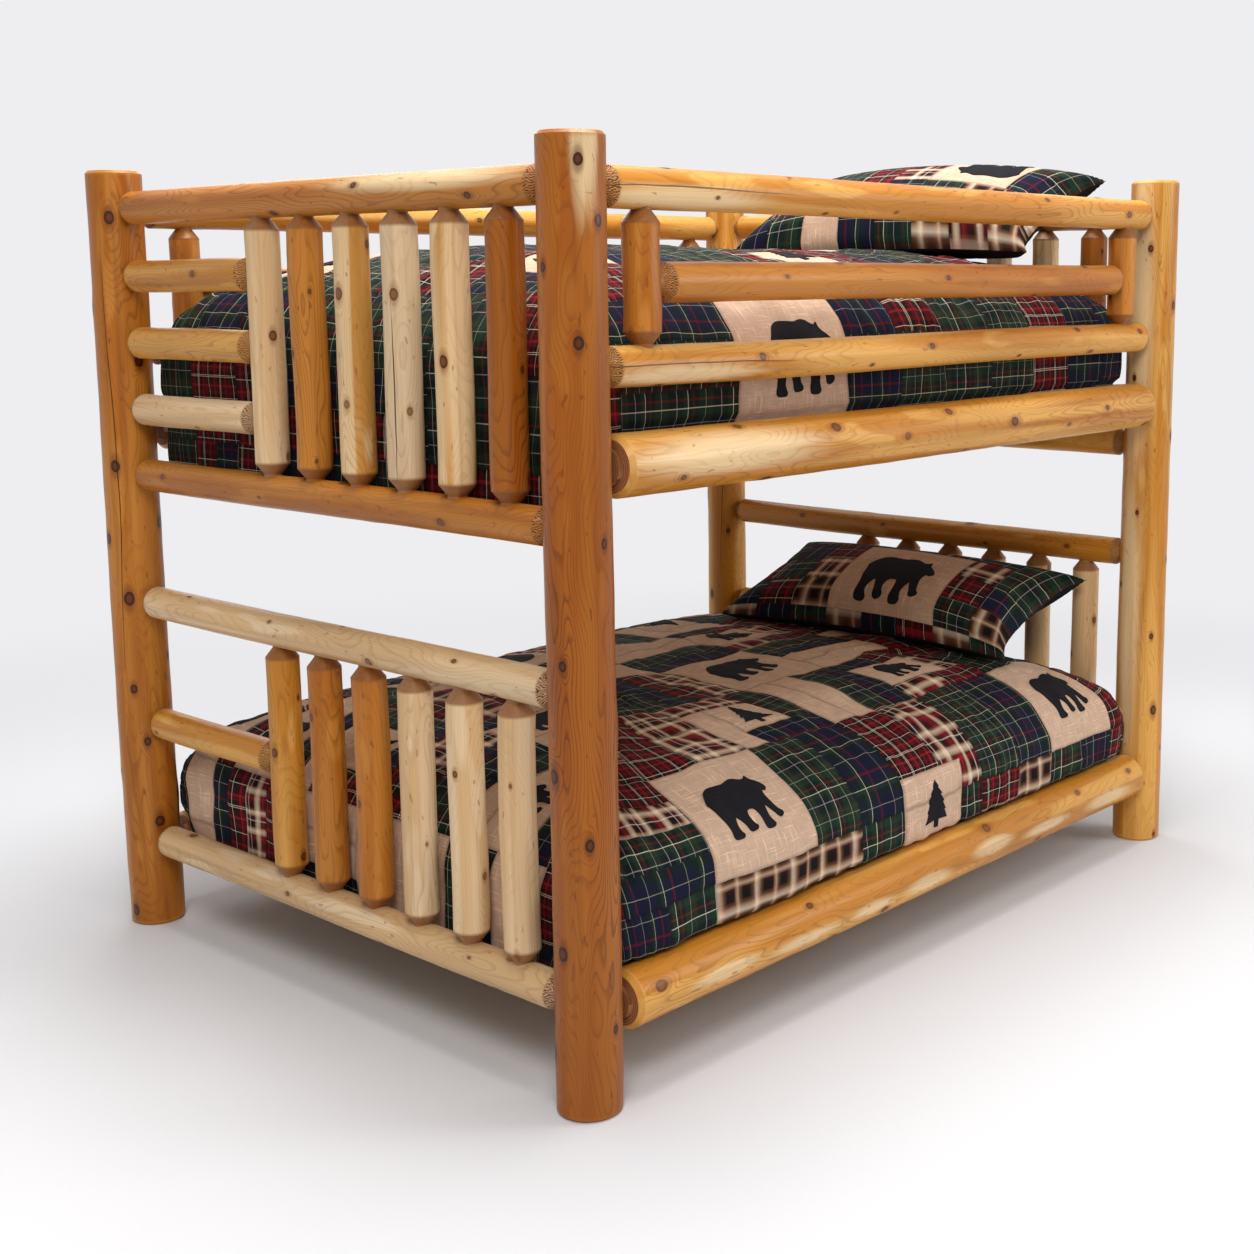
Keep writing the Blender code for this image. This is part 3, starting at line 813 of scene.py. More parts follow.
@dataclass
class LogFrame:
    """All the logs of the bed, placed by the solids they stand for."""

    post_radius: float = 0.061
    end_rail_radius: float = 0.036
    spindle_radius: float = 0.0355
    rung_radius: float = 0.035
    bed_rail_radius: float = 0.058
    bed_rail_sides: int = 16
    guard_radius: float = 0.037
    guard_spindle_radius: float = 0.035
    guard_spindle_sides: int = 12
    guard_middle_drop: float = 0.165
    hewn_flats: int = 9
    rabbet_depth: float = 0.028
    rabbet_half_length: float = 0.97
    ledge_drop: float = 0.015

    outward = {"front": pi, "back": 0.0}

    post_ends = (LogEnd(EndKind.FREE, 0.0, 0.0, 0.006),) * 2
    rail_ends = (LogEnd(EndKind.CONE, 0.0225, 0.034, 0.018),) * 2
    spindle_ends = (LogEnd(EndKind.TURNED, 0.019, 0.030, 0.021),) * 2
    rung_ends = (LogEnd(EndKind.CONE, 0.019, 0.034, 0.018), LogEnd(EndKind.CONE, 0.019, 0.026, 0.018))
    insert_ends = (LogEnd(EndKind.CONE, 0.0225, 0.001, 0.018),) * 2
    bed_rail_ends = (LogEnd(EndKind.SAWN, 0.033, 0.053, 0.009), LogEnd(EndKind.SAWN, 0.033, 0.037, 0.009))

    post_wood = {"segments": 72, "taper": 0.03, "knot_radius": 0.0092, "knot_pitch": 0.068, "knot_fade": 0.0}
    bed_rail_wood = {"segments": 72, "knot_radius": 0.0085, "knot_pitch": 0.085}
    post_tones = {"post_foot_front": Tone.HONEY, "post_foot_back": Tone.AMBER}
    spindle_tones = {
        "upper": (Tone.CREAM, Tone.AMBER, Tone.PALE, Tone.CREAM, Tone.PALE, Tone.HONEY),
        "lower": (Tone.GOLDEN, Tone.AMBER, Tone.AMBER, Tone.CREAM, Tone.CREAM, Tone.CREAM),
    }
    foot_rail_tones = {"lower": Tone.CREAM, "upper": Tone.AMBER}
    rung_tones = {"upper": (Tone.GOLDEN, Tone.GOLDEN, Tone.CREAM), "lower": (Tone.GOLDEN,)}
    ovals = {
        "post_foot_front": [Pared(1.22, 1.76, 0.34, 0.062)],
        "post_head_front": [Pared(-0.10, 1.42, 1.00, 0.085), Pared(-0.20, 0.62, 0.90, 0.075)],
        "foot_upper_top_rail": [Pared(2.6, 1.10, 0.66, 0.050)],
    }

    def axis(self, node: str, along: int) -> tuple[Vector, Vector]:
        """Ends of a straight solid's axis.

        Args:
            node: The solid's name.
            along: Axis that it lies along, 0 to 2.

        Returns:
            The two tips, the high one first for a log that lies across the bed.
        """
        low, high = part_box(node)
        start, stop = (low + high) / 2, (low + high) / 2
        start[along], stop[along] = low[along], high[along]
        return (stop, start) if along == 1 else (start, stop)

    def seeded(self, node: str) -> int:
        """A fixed seed for each solid, from its place in the sorted list of solids."""
        return 11 + sorted(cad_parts).index(node)

    def make(self, node: str, run: tuple, radius: float, ends: tuple, tone: Tone, **extras: object) -> Piece:
        """Make a log that stands for a solid.

        Args:
            node: The solid's name.
            run: The two tips of its axis.
            radius: Radius of the log.
            ends: Its two ends.
            tone: Its tone.
            **extras: Other fields of the log, and its name or seed where they aren't the solid's own.

        Returns:
            The log.
        """
        own = {"name": node + "_log", "seed": self.seeded(node), "pared": self.ovals.get(node, [])} | extras
        return Log(node=node, start=run[0], stop=run[1], radius=radius, ends=ends, tone=tone, **own).build()

    def build(self) -> None:
        """Make every log."""
        for end in ("foot", "head"):
            self.posts(end)
            for level in ("lower", "upper"):
                self.end_panel(end, level)
        for side in ("front", "back"):
            self.side_rails(side)
            self.guard_insert(side)

    def posts(self, end: str) -> None:
        """Make the two posts of one end.

        Args:
            end: Which end, foot or head.
        """
        for side in ("front", "back"):
            node = f"post_{end}_{side}"
            checks = [Check(0.5, 1.1, 1.1)] if side == "back" else []
            tone = self.post_tones.get(node, Tone.GOLDEN)
            extras = self.post_wood | {"checks": checks}
            self.make(node, self.axis(node, 2), self.post_radius, self.post_ends, tone, **extras)

    def end_panel(self, end: str, level: str) -> None:
        """Make the rails, spindles and rungs of one panel.

        Args:
            end: Which end, foot or head.
            level: Which bunk, lower or upper.
        """
        for rail in ("top", "bottom"):
            node = f"{end}_{level}_{rail}_rail"
            tone = self.foot_rail_tones[level] if end == "foot" else Tone.GOLDEN
            self.make(node, self.axis(node, 1), self.end_rail_radius, self.rail_ends, tone)
        outward = 0.0 if end == "foot" else pi
        for index, tone in enumerate(self.spindle_tones[level]):
            node = f"{end}_{level}_spindle_{index + 1}"
            split = [Check(outward + 0.3, 0.22, 0.36)] if level == "upper" and index == 3 else []
            run = self.axis(node, 2)
            self.make(node, run, self.spindle_radius, self.spindle_ends, tone, checks=split)
        for index, tone in enumerate(self.rung_tones[level]):
            node = f"{end}_{level}_rung_{index + 1}" if level == "upper" else f"{end}_{level}_rung"
            self.make(node, self.axis(node, 1), self.rung_radius, self.rung_ends, tone)

    def side_rails(self, side: str) -> None:
        """Make the bed rails and the guard rails of one side.

        Args:
            side: Which side, front or back.
        """
        for level in ("lower", "upper"):
            node = f"{side}_{level}_bed_rail"
            start, stop = self.axis(node, 0)
            low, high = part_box(f"post_foot_{side}")
            start.y = stop.y = (low.y + high.y) / 2
            start.z = stop.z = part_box(node)[0].z + self.bed_rail_radius * cos(pi / self.bed_rail_sides)
            extras = self.bed_rail_wood | {"pared": self.pared_ovals(node, side)}
            run = (start, stop)
            rail = self.make(node, run, self.bed_rail_radius, self.bed_rail_ends, Tone.GOLDEN, **extras)
            self.cut_rabbet(rail, start)
        for level in ("top", "lower"):
            node = f"{side}_guard_{level}_rail"
            extras = {"checks": [Check(self.outward[side], 0.24, 0.62)]}
            extras["pared"] = [Pared(self.outward[side] + 0.5, 0.22, 0.56, 0.05)]
            self.make(node, self.axis(node, 0), self.guard_radius, self.rail_ends, Tone.GOLDEN, **extras)

    def pared_ovals(self, node: str, side: str) -> list[Pared]:
        """Scatter pale ovals along the outer side of a bed rail.

        Args:
            node: The rail's solid.
            side: Which side of the bed, front or back.

        Returns:
            The ovals, of which an upper rail has only a large one near its foot.
        """
        if "upper" in node:
            return [Pared(self.outward[side] - 0.2, 0.32, 0.66, 0.100)]
        draw = np.random.default_rng(self.seeded(node) + 500)
        ovals = []
        for middle in np.arange(0.30, 1.9, 0.24):
            angle = self.outward[side] + draw.normal(0.0, 0.30)
            place = middle + draw.uniform(-0.06, 0.06)
            ovals.append(Pared(angle, place, draw.uniform(0.12, 0.26), draw.uniform(0.034, 0.052)))
        return ovals

    def cut_rabbet(self, rail: Piece, start: Vector) -> None:
        """Press the step for the board into the inner upper side of a bed rail.

        Args:
            rail: The finished rail.
            start: A point on the rail's axis.
        """
        inward = -1 if start.y > 0 else 1
        wall = start.y + inward * (self.bed_rail_radius - self.rabbet_depth)
        ledge = start.z - self.ledge_drop
        places = points_of(rail)
        past = inward * (places[:, 1] - wall)
        above = places[:, 2] - ledge
        inside = (past > 0) & (above > 0) & (abs(places[:, 0]) < self.rabbet_half_length)
        places[inside & (past < above), 1] = wall
        places[inside & (past >= above), 2] = ledge
        move_points(rail, places)

    def guard_insert(self, side: str) -> None:
        """Make the guard's middle rail and its two short spindles.

        Args:
            side: Which side, front or back.
        """
        node = f"{side}_guard_insert"
        low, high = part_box(node)
        y = (low.y + high.y) / 2
        reach = high.x - self.guard_spindle_radius * cos(pi / self.guard_spindle_sides)
        for index, x in enumerate((-reach, reach)):
            run = (Vector((x, y, low.z)), Vector((x, y, high.z)))
            extras = {"seed": self.seeded(node) + 100 + index, "facets": self.hewn_flats}
            extras["name"] = f"{side}_guard_spindle_{index + 1}_log"
            self.make(node, run, self.guard_spindle_radius, self.spindle_ends, Tone.AMBER, **extras)
        low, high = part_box(f"{side}_guard_top_rail")
        height = (low.z + high.z) / 2 - self.guard_middle_drop
        inner = reach - self.guard_spindle_radius
        run = (Vector((-inner, y, height)), Vector((inner, y, height)))
        name = f"{side}_guard_middle_rail_log"
        self.make(node, run, self.guard_radius, self.insert_ends, Tone.AMBER, name=name)


class Cloth(Enum):
    """Cloths of the bedding."""

    GREEN = "green_tartan"
    RED = "red_tartan"
    NAVY = "navy_plaid"
    BROWN = "brown_plaid"
    CREAM = "cream_plaid"
    TAN = "tan_linen"
    BACKING = "black_backing"
    FELT = "charcoal_felt"
    TICKING = "mattress_ticking"


Bands = tuple[tuple[float, Colour], ...]


@dataclass(frozen=True)
class ClothFinish:
    """A woven cloth, with the bands of its plaid in order along one repeat."""

    cloth: Cloth
    bands: Bands
    repeat: float = 0.130
    weave: float = 330.0
    slub: float = 0.30
    soft: bool = False

    ROUGHNESS = 0.88
    SHINE = 0.12
    BUMP = 0.0007
    BUMP_STRENGTH = 0.6

    @cache
    def material(self) -> bpy.types.Material:
        """Make the material once, and give it out again after that.

        Returns:
            The material.
        """
        made, board, shader = new_material(self.cloth.value + "_finish")
        place = board.wire("UVMap", uv_map="cut")
        across, along = board.parts(place)[:2]
        inputs = {"Place": place, "Seam": board.read("seam", "Fac"), "Weave": self.weave, "Slub": self.slub}
        inputs |= {"Warp": self.banded(board, across), "Weft": self.banded(board, along)}
        cloth = board.add("Group", inputs, node_tree=woven_cloth())
        colour, height = (Wire(board, cloth.outputs[name]) for name in ("Color", "Height"))
        bump = {"Strength": self.BUMP_STRENGTH, "Distance": self.BUMP, "Height": height}
        board.feed(shader, {"Base Color": colour, "Normal": board.wire("Bump", bump)})
        board.feed(shader, {"Roughness": self.ROUGHNESS, "Specular IOR Level": self.SHINE})
        return made

    def banded(self, board: NodeBoard, place: Wire) -> Wire | Colour:
        """Colour of the yarns at a place across the bands.

        Args:
            board: Board of the material.
            place: Distance across the bands in metres.

        Returns:
            The colour, plain where the cloth has one band only.
        """
        if len(self.bands) == 1:
            return self.bands[0][1]
        ramp = board.add("ValToRGB", {0: board.math("DIVIDE", place, self.repeat).fraction()})
        ramp.color_ramp.interpolation = "LINEAR" if self.soft else "CONSTANT"
        stops = ramp.color_ramp.elements
        stops.remove(stops[1])
        for index, (start, colour) in enumerate(self.bands):
            stop = stops[0] if index == 0 else stops.new(start)
            stop.position = start
            stop.color = (*colour, 1.0)
        return Wire(board, ramp.outputs[0])


@cache
def woven_cloth() -> bpy.types.NodeTree:
    """The twill and slubs that every cloth shows, and painted shade along its sewn seams.

    Returns:
        The node group, built once.
    """
    inputs = {"Place": "Vector", "Warp": "Color", "Weft": "Color"}
    inputs |= dict.fromkeys(("Seam", "Weave", "Slub"), "Float")
    board, given, leave = new_group("woven_cloth", inputs, {"Color": "Color", "Height": "Float"})
    place, warp, weft = given["Place"], given["Warp"], given["Weft"]
    across, along = board.parts(place)[:2]
    over = abs(((across + along) * given["Weave"]).fraction() - 0.5).ease(0.10, 0.40)
    tone = board.mix(over * 0.40 + 0.30, warp, weft)
    tone = board.mix(0.16, tone, board.mix(1.0, warp, weft, "LIGHTEN"))
    ways = ((11.0, 230.0, 1.0), (230.0, 11.0, 1.0))
    thread = board.math("MAXIMUM", *[board.noise(place, way).ease(0.54, 0.78) for way in ways])
    slub = board.noise(place, (420.0, 420.0, 1.0)) * 0.6 + thread * 0.5
    faded = board.noise(place, (26.0, 26.0, 1.0))
    shade = ((slub - 0.45) * given["Slub"] + 1.0) * (faded * 0.34 + 0.83)
    # Painted shade: the cloth is darkened along its seams, where they sink in
    shade = shade * (1.0 - given["Seam"].ease(0.45, 1.0) * 0.35)
    board.feed(leave, {"Color": board.shaded(tone, shade), "Height": over * 0.35 + slub})
    return board.tree


YARNS = {
    "green": srgb(30, 52, 38),
    "forest": srgb(18, 31, 24),
    "navy": srgb(21, 23, 45),
    "black": srgb(17, 13, 13),
    "wine": srgb(96, 20, 28),
    "maroon": srgb(62, 14, 19),
    "red": srgb(158, 34, 40),
    "ivory": srgb(244, 226, 200),
    "cocoa": srgb(122, 80, 54),
    "dull": srgb(172, 170, 142),
    "sand": srgb(216, 182, 150),
}


def plaid(text: str) -> Bands:
    """Read bands from a text that gives each one's start, in percent of the repeat, and its yarn."""
    words = text.split()
    return tuple((float(start) / 100, YARNS[yarn]) for start, yarn in zip(words[::2], words[1::2]))


def one_colour(red: int, green: int, blue: int) -> Bands:
    """One band only, of a colour as seen on a screen."""
    return ((0.0, srgb(red, green, blue)),)


GREEN_BANDS = plaid(
    "0 green 14 dull 15.2 green 24 wine 25.5 green 32 forest 44 navy 49 dull 50.5 navy 56 forest 64 green"
    " 75 ivory 76.2 forest 86 wine 90 forest"
)
RED_BANDS = plaid(
    "0 maroon 10 red 15 maroon 26 black 33 ivory 34.5 black 37 ivory 38.5 black 48 wine 56 red 61 maroon"
    " 72 forest 82 ivory 83.5 black 92 wine"
)
NAVY_BANDS = plaid(
    "0 navy 20 dull 21.4 navy 36 forest 50 green 58 ivory 59.2 forest 68 navy 82 wine 87 navy"
)
BROWN_BANDS = plaid(
    "0 black 16 black 26 cocoa 34 ivory 40 sand 48 cocoa 56 black 70 black 78 maroon"
    " 86 sand 92 cocoa 100 black"
)
CREAM_BANDS = plaid(
    "0 maroon 12 red 17 maroon 22 sand 28 ivory 33 sand 38 maroon 44 black 52 black 54 ivory 56 navy 64 wine"
    " 70 sand 76 ivory 82 cocoa 88 black 100 maroon"
)
CLOTHS = {
    finish.cloth: finish
    for finish in (
        ClothFinish(Cloth.GREEN, GREEN_BANDS),
        ClothFinish(Cloth.RED, RED_BANDS),
        ClothFinish(Cloth.NAVY, NAVY_BANDS),
        ClothFinish(Cloth.BROWN, BROWN_BANDS, repeat=0.120, soft=True),
        ClothFinish(Cloth.CREAM, CREAM_BANDS, repeat=0.140, soft=True),
        ClothFinish(Cloth.TAN, one_colour(220, 186, 159), weave=520.0, slub=1.0),
        ClothFinish(Cloth.BACKING, one_colour(28, 27, 30)),
        ClothFinish(Cloth.FELT, one_colour(30, 29, 33), weave=700.0, slub=0.8),
        ClothFinish(Cloth.TICKING, one_colour(214, 208, 196), weave=420.0),
    )
}


class Motif(Enum):
    """Figures sewn on the tan blocks, as outlines one wide."""

    BEAR = (
        (1.000, 0.470), (0.950, 0.525), (0.885, 0.575), (0.858, 0.606), (0.838, 0.656), (0.800, 0.632),
        (0.740, 0.628), (0.640, 0.668), (0.560, 0.672), (0.450, 0.648), (0.330, 0.652), (0.200, 0.655),
        (0.100, 0.610), (0.035, 0.520), (0.008, 0.462), (0.018, 0.425), (0.030, 0.380), (0.045, 0.280),
        (0.075, 0.180), (0.075, 0.100), (0.060, 0.040), (0.085, 0.004), (0.200, 0.000), (0.235, 0.030),
        (0.215, 0.065), (0.205, 0.110), (0.235, 0.190), (0.275, 0.235), (0.315, 0.170), (0.335, 0.100),
        (0.340, 0.055), (0.375, 0.030), (0.460, 0.040), (0.480, 0.075), (0.455, 0.105), (0.440, 0.160),
        (0.455, 0.235), (0.500, 0.265), (0.575, 0.262), (0.600, 0.200), (0.605, 0.120), (0.595, 0.050),
        (0.615, 0.004), (0.720, 0.000), (0.760, 0.030), (0.745, 0.070), (0.730, 0.120), (0.745, 0.200),
        (0.775, 0.255), (0.810, 0.200), (0.845, 0.140), (0.860, 0.095), (0.900, 0.075), (0.965, 0.100),
        (0.975, 0.140), (0.940, 0.170), (0.915, 0.230), (0.890, 0.310), (0.885, 0.380), (0.905, 0.420),
        (0.955, 0.415), (0.990, 0.435),
    )
    PINE = (
        (0.500, 1.180), (0.585, 1.010), (0.548, 1.018), (0.668, 0.830), (0.608, 0.842), (0.768, 0.620),
        (0.690, 0.634), (0.872, 0.400), (0.776, 0.416), (0.990, 0.150), (0.570, 0.196), (0.576, 0.000),
        (0.430, 0.000), (0.436, 0.196), (0.012, 0.160), (0.226, 0.420), (0.130, 0.404), (0.312, 0.640),
        (0.232, 0.624), (0.394, 0.846), (0.334, 0.834), (0.454, 1.020), (0.416, 1.014),
    )

    @property
    def stretch(self) -> float:
        """How much taller the figure is made than its outline."""
        return 1.14 if self is Motif.BEAR else 1.0

    def drawn(self, width: float) -> np.ndarray:
        """Draw the outline, with the bear's corners rounded off.

        Args:
            width: Width of the figure in metres.

        Returns:
            Points round the figure, centred on it.
        """
        corners = np.array(self.value)
        if self is Motif.BEAR:
            before, after = np.roll(corners, 1, 0), np.roll(corners, -1, 0)
            beyond = np.roll(corners, -2, 0)
            drawn = []
            for t in (0.0, 0.25, 0.5, 0.75):
                bent = 2 * corners + (after - before) * t
                bent = bent + (2 * before - 5 * corners + 4 * after - beyond) * t**2
                drawn.append((bent + (3 * corners - before - 3 * after + beyond) * t**3) / 2)
            corners = np.stack(drawn, 1).reshape(-1, 2)
        middle = (corners.min(0) + corners.max(0)) / 2
        return (corners - middle) * (width, width * self.stretch)

    def filled(self, width: float, step: float) -> tuple[np.ndarray, list[list[int]]]:
        """Fill the outline with small triangles, so that it can follow a curved cloth.

        Args:
            width: Width of the figure in metres.
            step: Size of the triangles.

        Returns:
            The points and the triangles.
        """
        outline = self.drawn(width)
        low, high = outline.min(0), outline.max(0)
        sides = [np.arange(low[k] + step / 2, high[k], step) for k in (0, 1)]
        inner = np.stack(np.meshgrid(*sides), -1).reshape(-1, 2)
        points = [Vector(point) for point in np.concatenate([outline, inner])]
        rim = [list(range(len(outline)))]
        found = delaunay_2d_cdt(points, [], rim, 1, CLOSE)
        return np.array([tuple(point) for point in found[0]]), [list(face) for face in found[2]]


@dataclass(frozen=True)
class SewnFigure:
    """A figure on a flat cloth: which, where, how wide and which way up."""

    motif: Motif
    across: float
    along: float
    width: float
    upside_down: bool = False

    STEP = 0.008
    LIFT = 0.0022
    THICKNESS = 0.0020


def bolt_shift(numbers: np.ndarray) -> np.ndarray:
    """How far patches with these numbers were cut from elsewhere on their bolts."""
    return np.stack([numbers * 0.0618 % 0.11, numbers * 0.0414 % 0.11], 1)


def lay_out(piece: Piece, flat: np.ndarray, shift: np.ndarray, scale: np.ndarray | float = 1.0) -> None:
    """Give every corner of a cloth its place on the flat cloth.

    Args:
        piece: The cloth.
        flat: Flat place of each point.
        shift: How far each face's own patch was cut from elsewhere on its bolt.
        scale: How much finer each face's own bolt is woven than the usual one.
    """
    mesh = piece.data
    corners = read_each(mesh.loops, "vertex_index", kind=np.int32)
    totals = read_each(mesh.polygons, "loop_total", kind=np.int32)
    faces = np.repeat(np.arange(len(totals)), totals)
    while mesh.uv_layers:
        mesh.uv_layers.remove(mesh.uv_layers[0])
    layer = mesh.uv_layers.new(name="cut")
    scale = np.broadcast_to(scale, len(totals))[faces, None]
    layer.data.foreach_set("uv", (flat[corners] * scale + shift[faces]).astype(np.float32).ravel())


def dress(piece: Piece, cloths: list[Cloth], choice: np.ndarray) -> None:
    """Give a piece its cloths, one a face.

    Args:
        piece: The piece.
        cloths: Its cloths in order.
        choice: Which of them each face has.
    """
    piece.data.materials.clear()
    for cloth in cloths:
        piece.data.materials.append(CLOTHS[cloth].material())
    piece.data.polygons.foreach_set("material_index", choice.astype(np.int32))
    piece.data.update()


def dress_plain(piece: Piece, cloth: Cloth, flat: np.ndarray) -> None:
    """Give the active piece one cloth without seams.

    Args:
        piece: The piece.
        cloth: Its cloth.
        flat: Flat place of each point.
    """
    count = len(piece.data.polygons)
    lay_out(piece, flat, np.zeros((count, 2)))
    keep_values(piece, "seam", np.zeros(len(flat)))
    dress(piece, [cloth], np.zeros(count))
    bpy.ops.object.shade_smooth_by_angle(angle=radians(50))


def sew_on(name: str, figures: list[SewnFigure], surface: Surface) -> Piece:
    """Lay felt figures on a cloth, all in one piece.

    Args:
        name: Name of the piece.
        figures: The figures.
        surface: Gives places and normals in space from flat places.

    Returns:
        The piece.
    """
    places, faces = [], []
    count = 0
    for figure in figures:
        drawn, triangles = figure.motif.filled(figure.width, figure.STEP)
        drawn = -drawn if figure.upside_down else drawn
        spots, normals = surface(drawn[:, 0] + figure.across, drawn[:, 1] + figure.along)
        places += (spots + normals * figure.LIFT).tolist()
        faces += [[corner + count for corner in face] for face in triangles]
        count += len(drawn)
    mesh = bpy.data.meshes.new(name)
    mesh.from_pydata(places, [], faces)
    piece = add_piece(name, mesh)
    thick = piece.modifiers.new("felt", "SOLIDIFY")
    thick.thickness = SewnFigure.THICKNESS
    thick.offset = -1.0
    bpy.ops.object.modifier_apply(modifier=thick.name)
    dress_plain(piece, Cloth.FELT, points_of(piece)[:, :2])
    return piece


BLOCK_PLANS = {
    "plain": ("TTTT", "TTTT", "TTTT", "TTTT"),
    "low": ("TTTT", "TTTT", "TTTT", "TTTT"),
    "pair": ("0011", "0011", "0011", "0011"),
    "four": ("0011", "0011", "2233", "2233"),
    "rails": ("0000", "1111", "2222", "3333"),
    "posts": ("0123", "0123", "0123", "0123"),
    "window": ("1100", "1100", "1100", "TTT0"),
    "frame": ("0001", "3TT1", "3TT1", "3222"),
    "field": ("0011", "TTT4", "TTT4", "2233"),
}
FIGURE_SPOTS = {
    "plain": (Motif.BEAR, (2.0, 2.0), 0.58),
    "low": (Motif.BEAR, (2.3, 1.55), 0.58),
    "window": (Motif.PINE, (1.5, -0.15), 0.30),
    "frame": (Motif.PINE, (2.0, 2.0), 0.30),
    "field": (Motif.BEAR, (1.5, 2.0), 0.40),
}
LOWER_PLAN = (
    ("four", "rails", "plain", "pair", "window", "pair", "plain", "pair"),
    ("rails", "field", "four", "frame", "posts", "field", "four", "posts"),
    ("plain", "four", "field", "posts", "plain", "rails", "frame", "four"),
    ("posts", "frame", "posts", "four", "rails", "field", "posts", "rails"),
    ("rails", "field", "frame", "plain", "four", "frame", "rails", "frame"),
    ("four", "plain", "pair", "window", "pair", "plain", "four", "pair"),
)
UPPER_PLAN = (
    ("four", "rails", "low", "four", "pair", "four", "pair", "posts"),
    ("rails", "frame", "posts", "frame", "posts", "four", "frame", "posts"),
    ("posts", "four", "frame", "posts", "plain", "rails", "posts", "four"),
    ("four", "frame", "posts", "four", "rails", "frame", "posts", "rails"),
    ("pair", "four", "plain", "pair", "window", "plain", "four", "pair"),
)
HEM_PLAN = "GGNN NNGG BBBB BBGG TTTG RRBB GGNN RRGG"
QUILT_CLOTHS = [Cloth.GREEN, Cloth.RED, Cloth.NAVY, Cloth.BROWN, Cloth.CREAM, Cloth.TAN]
CLOTH_LETTERS = "GRNBCT"


def near_seam(patch: Callable, across: np.ndarray, along: np.ndarray) -> np.ndarray:
    """How close flat places are to a seam, from 1 on it to 0 away from it.

    Args:
        patch: Gives a number for the patch at flat places.
        across: Flat places one way.
        along: Flat places the other way.

    Returns:
        Closeness to a seam.
    """
    closeness = np.zeros(len(across))
    for reach in np.linspace(0.016, 0.0005, 12):
        sides = [patch(across + a, along + b) for a, b in ((reach, 0), (-reach, 0), (0, reach), (0, -reach))]
        split = (sides[0] != sides[1]) | (sides[2] != sides[3])
        closeness = np.where(split, 1 - reach / 0.017, closeness)
    return closeness


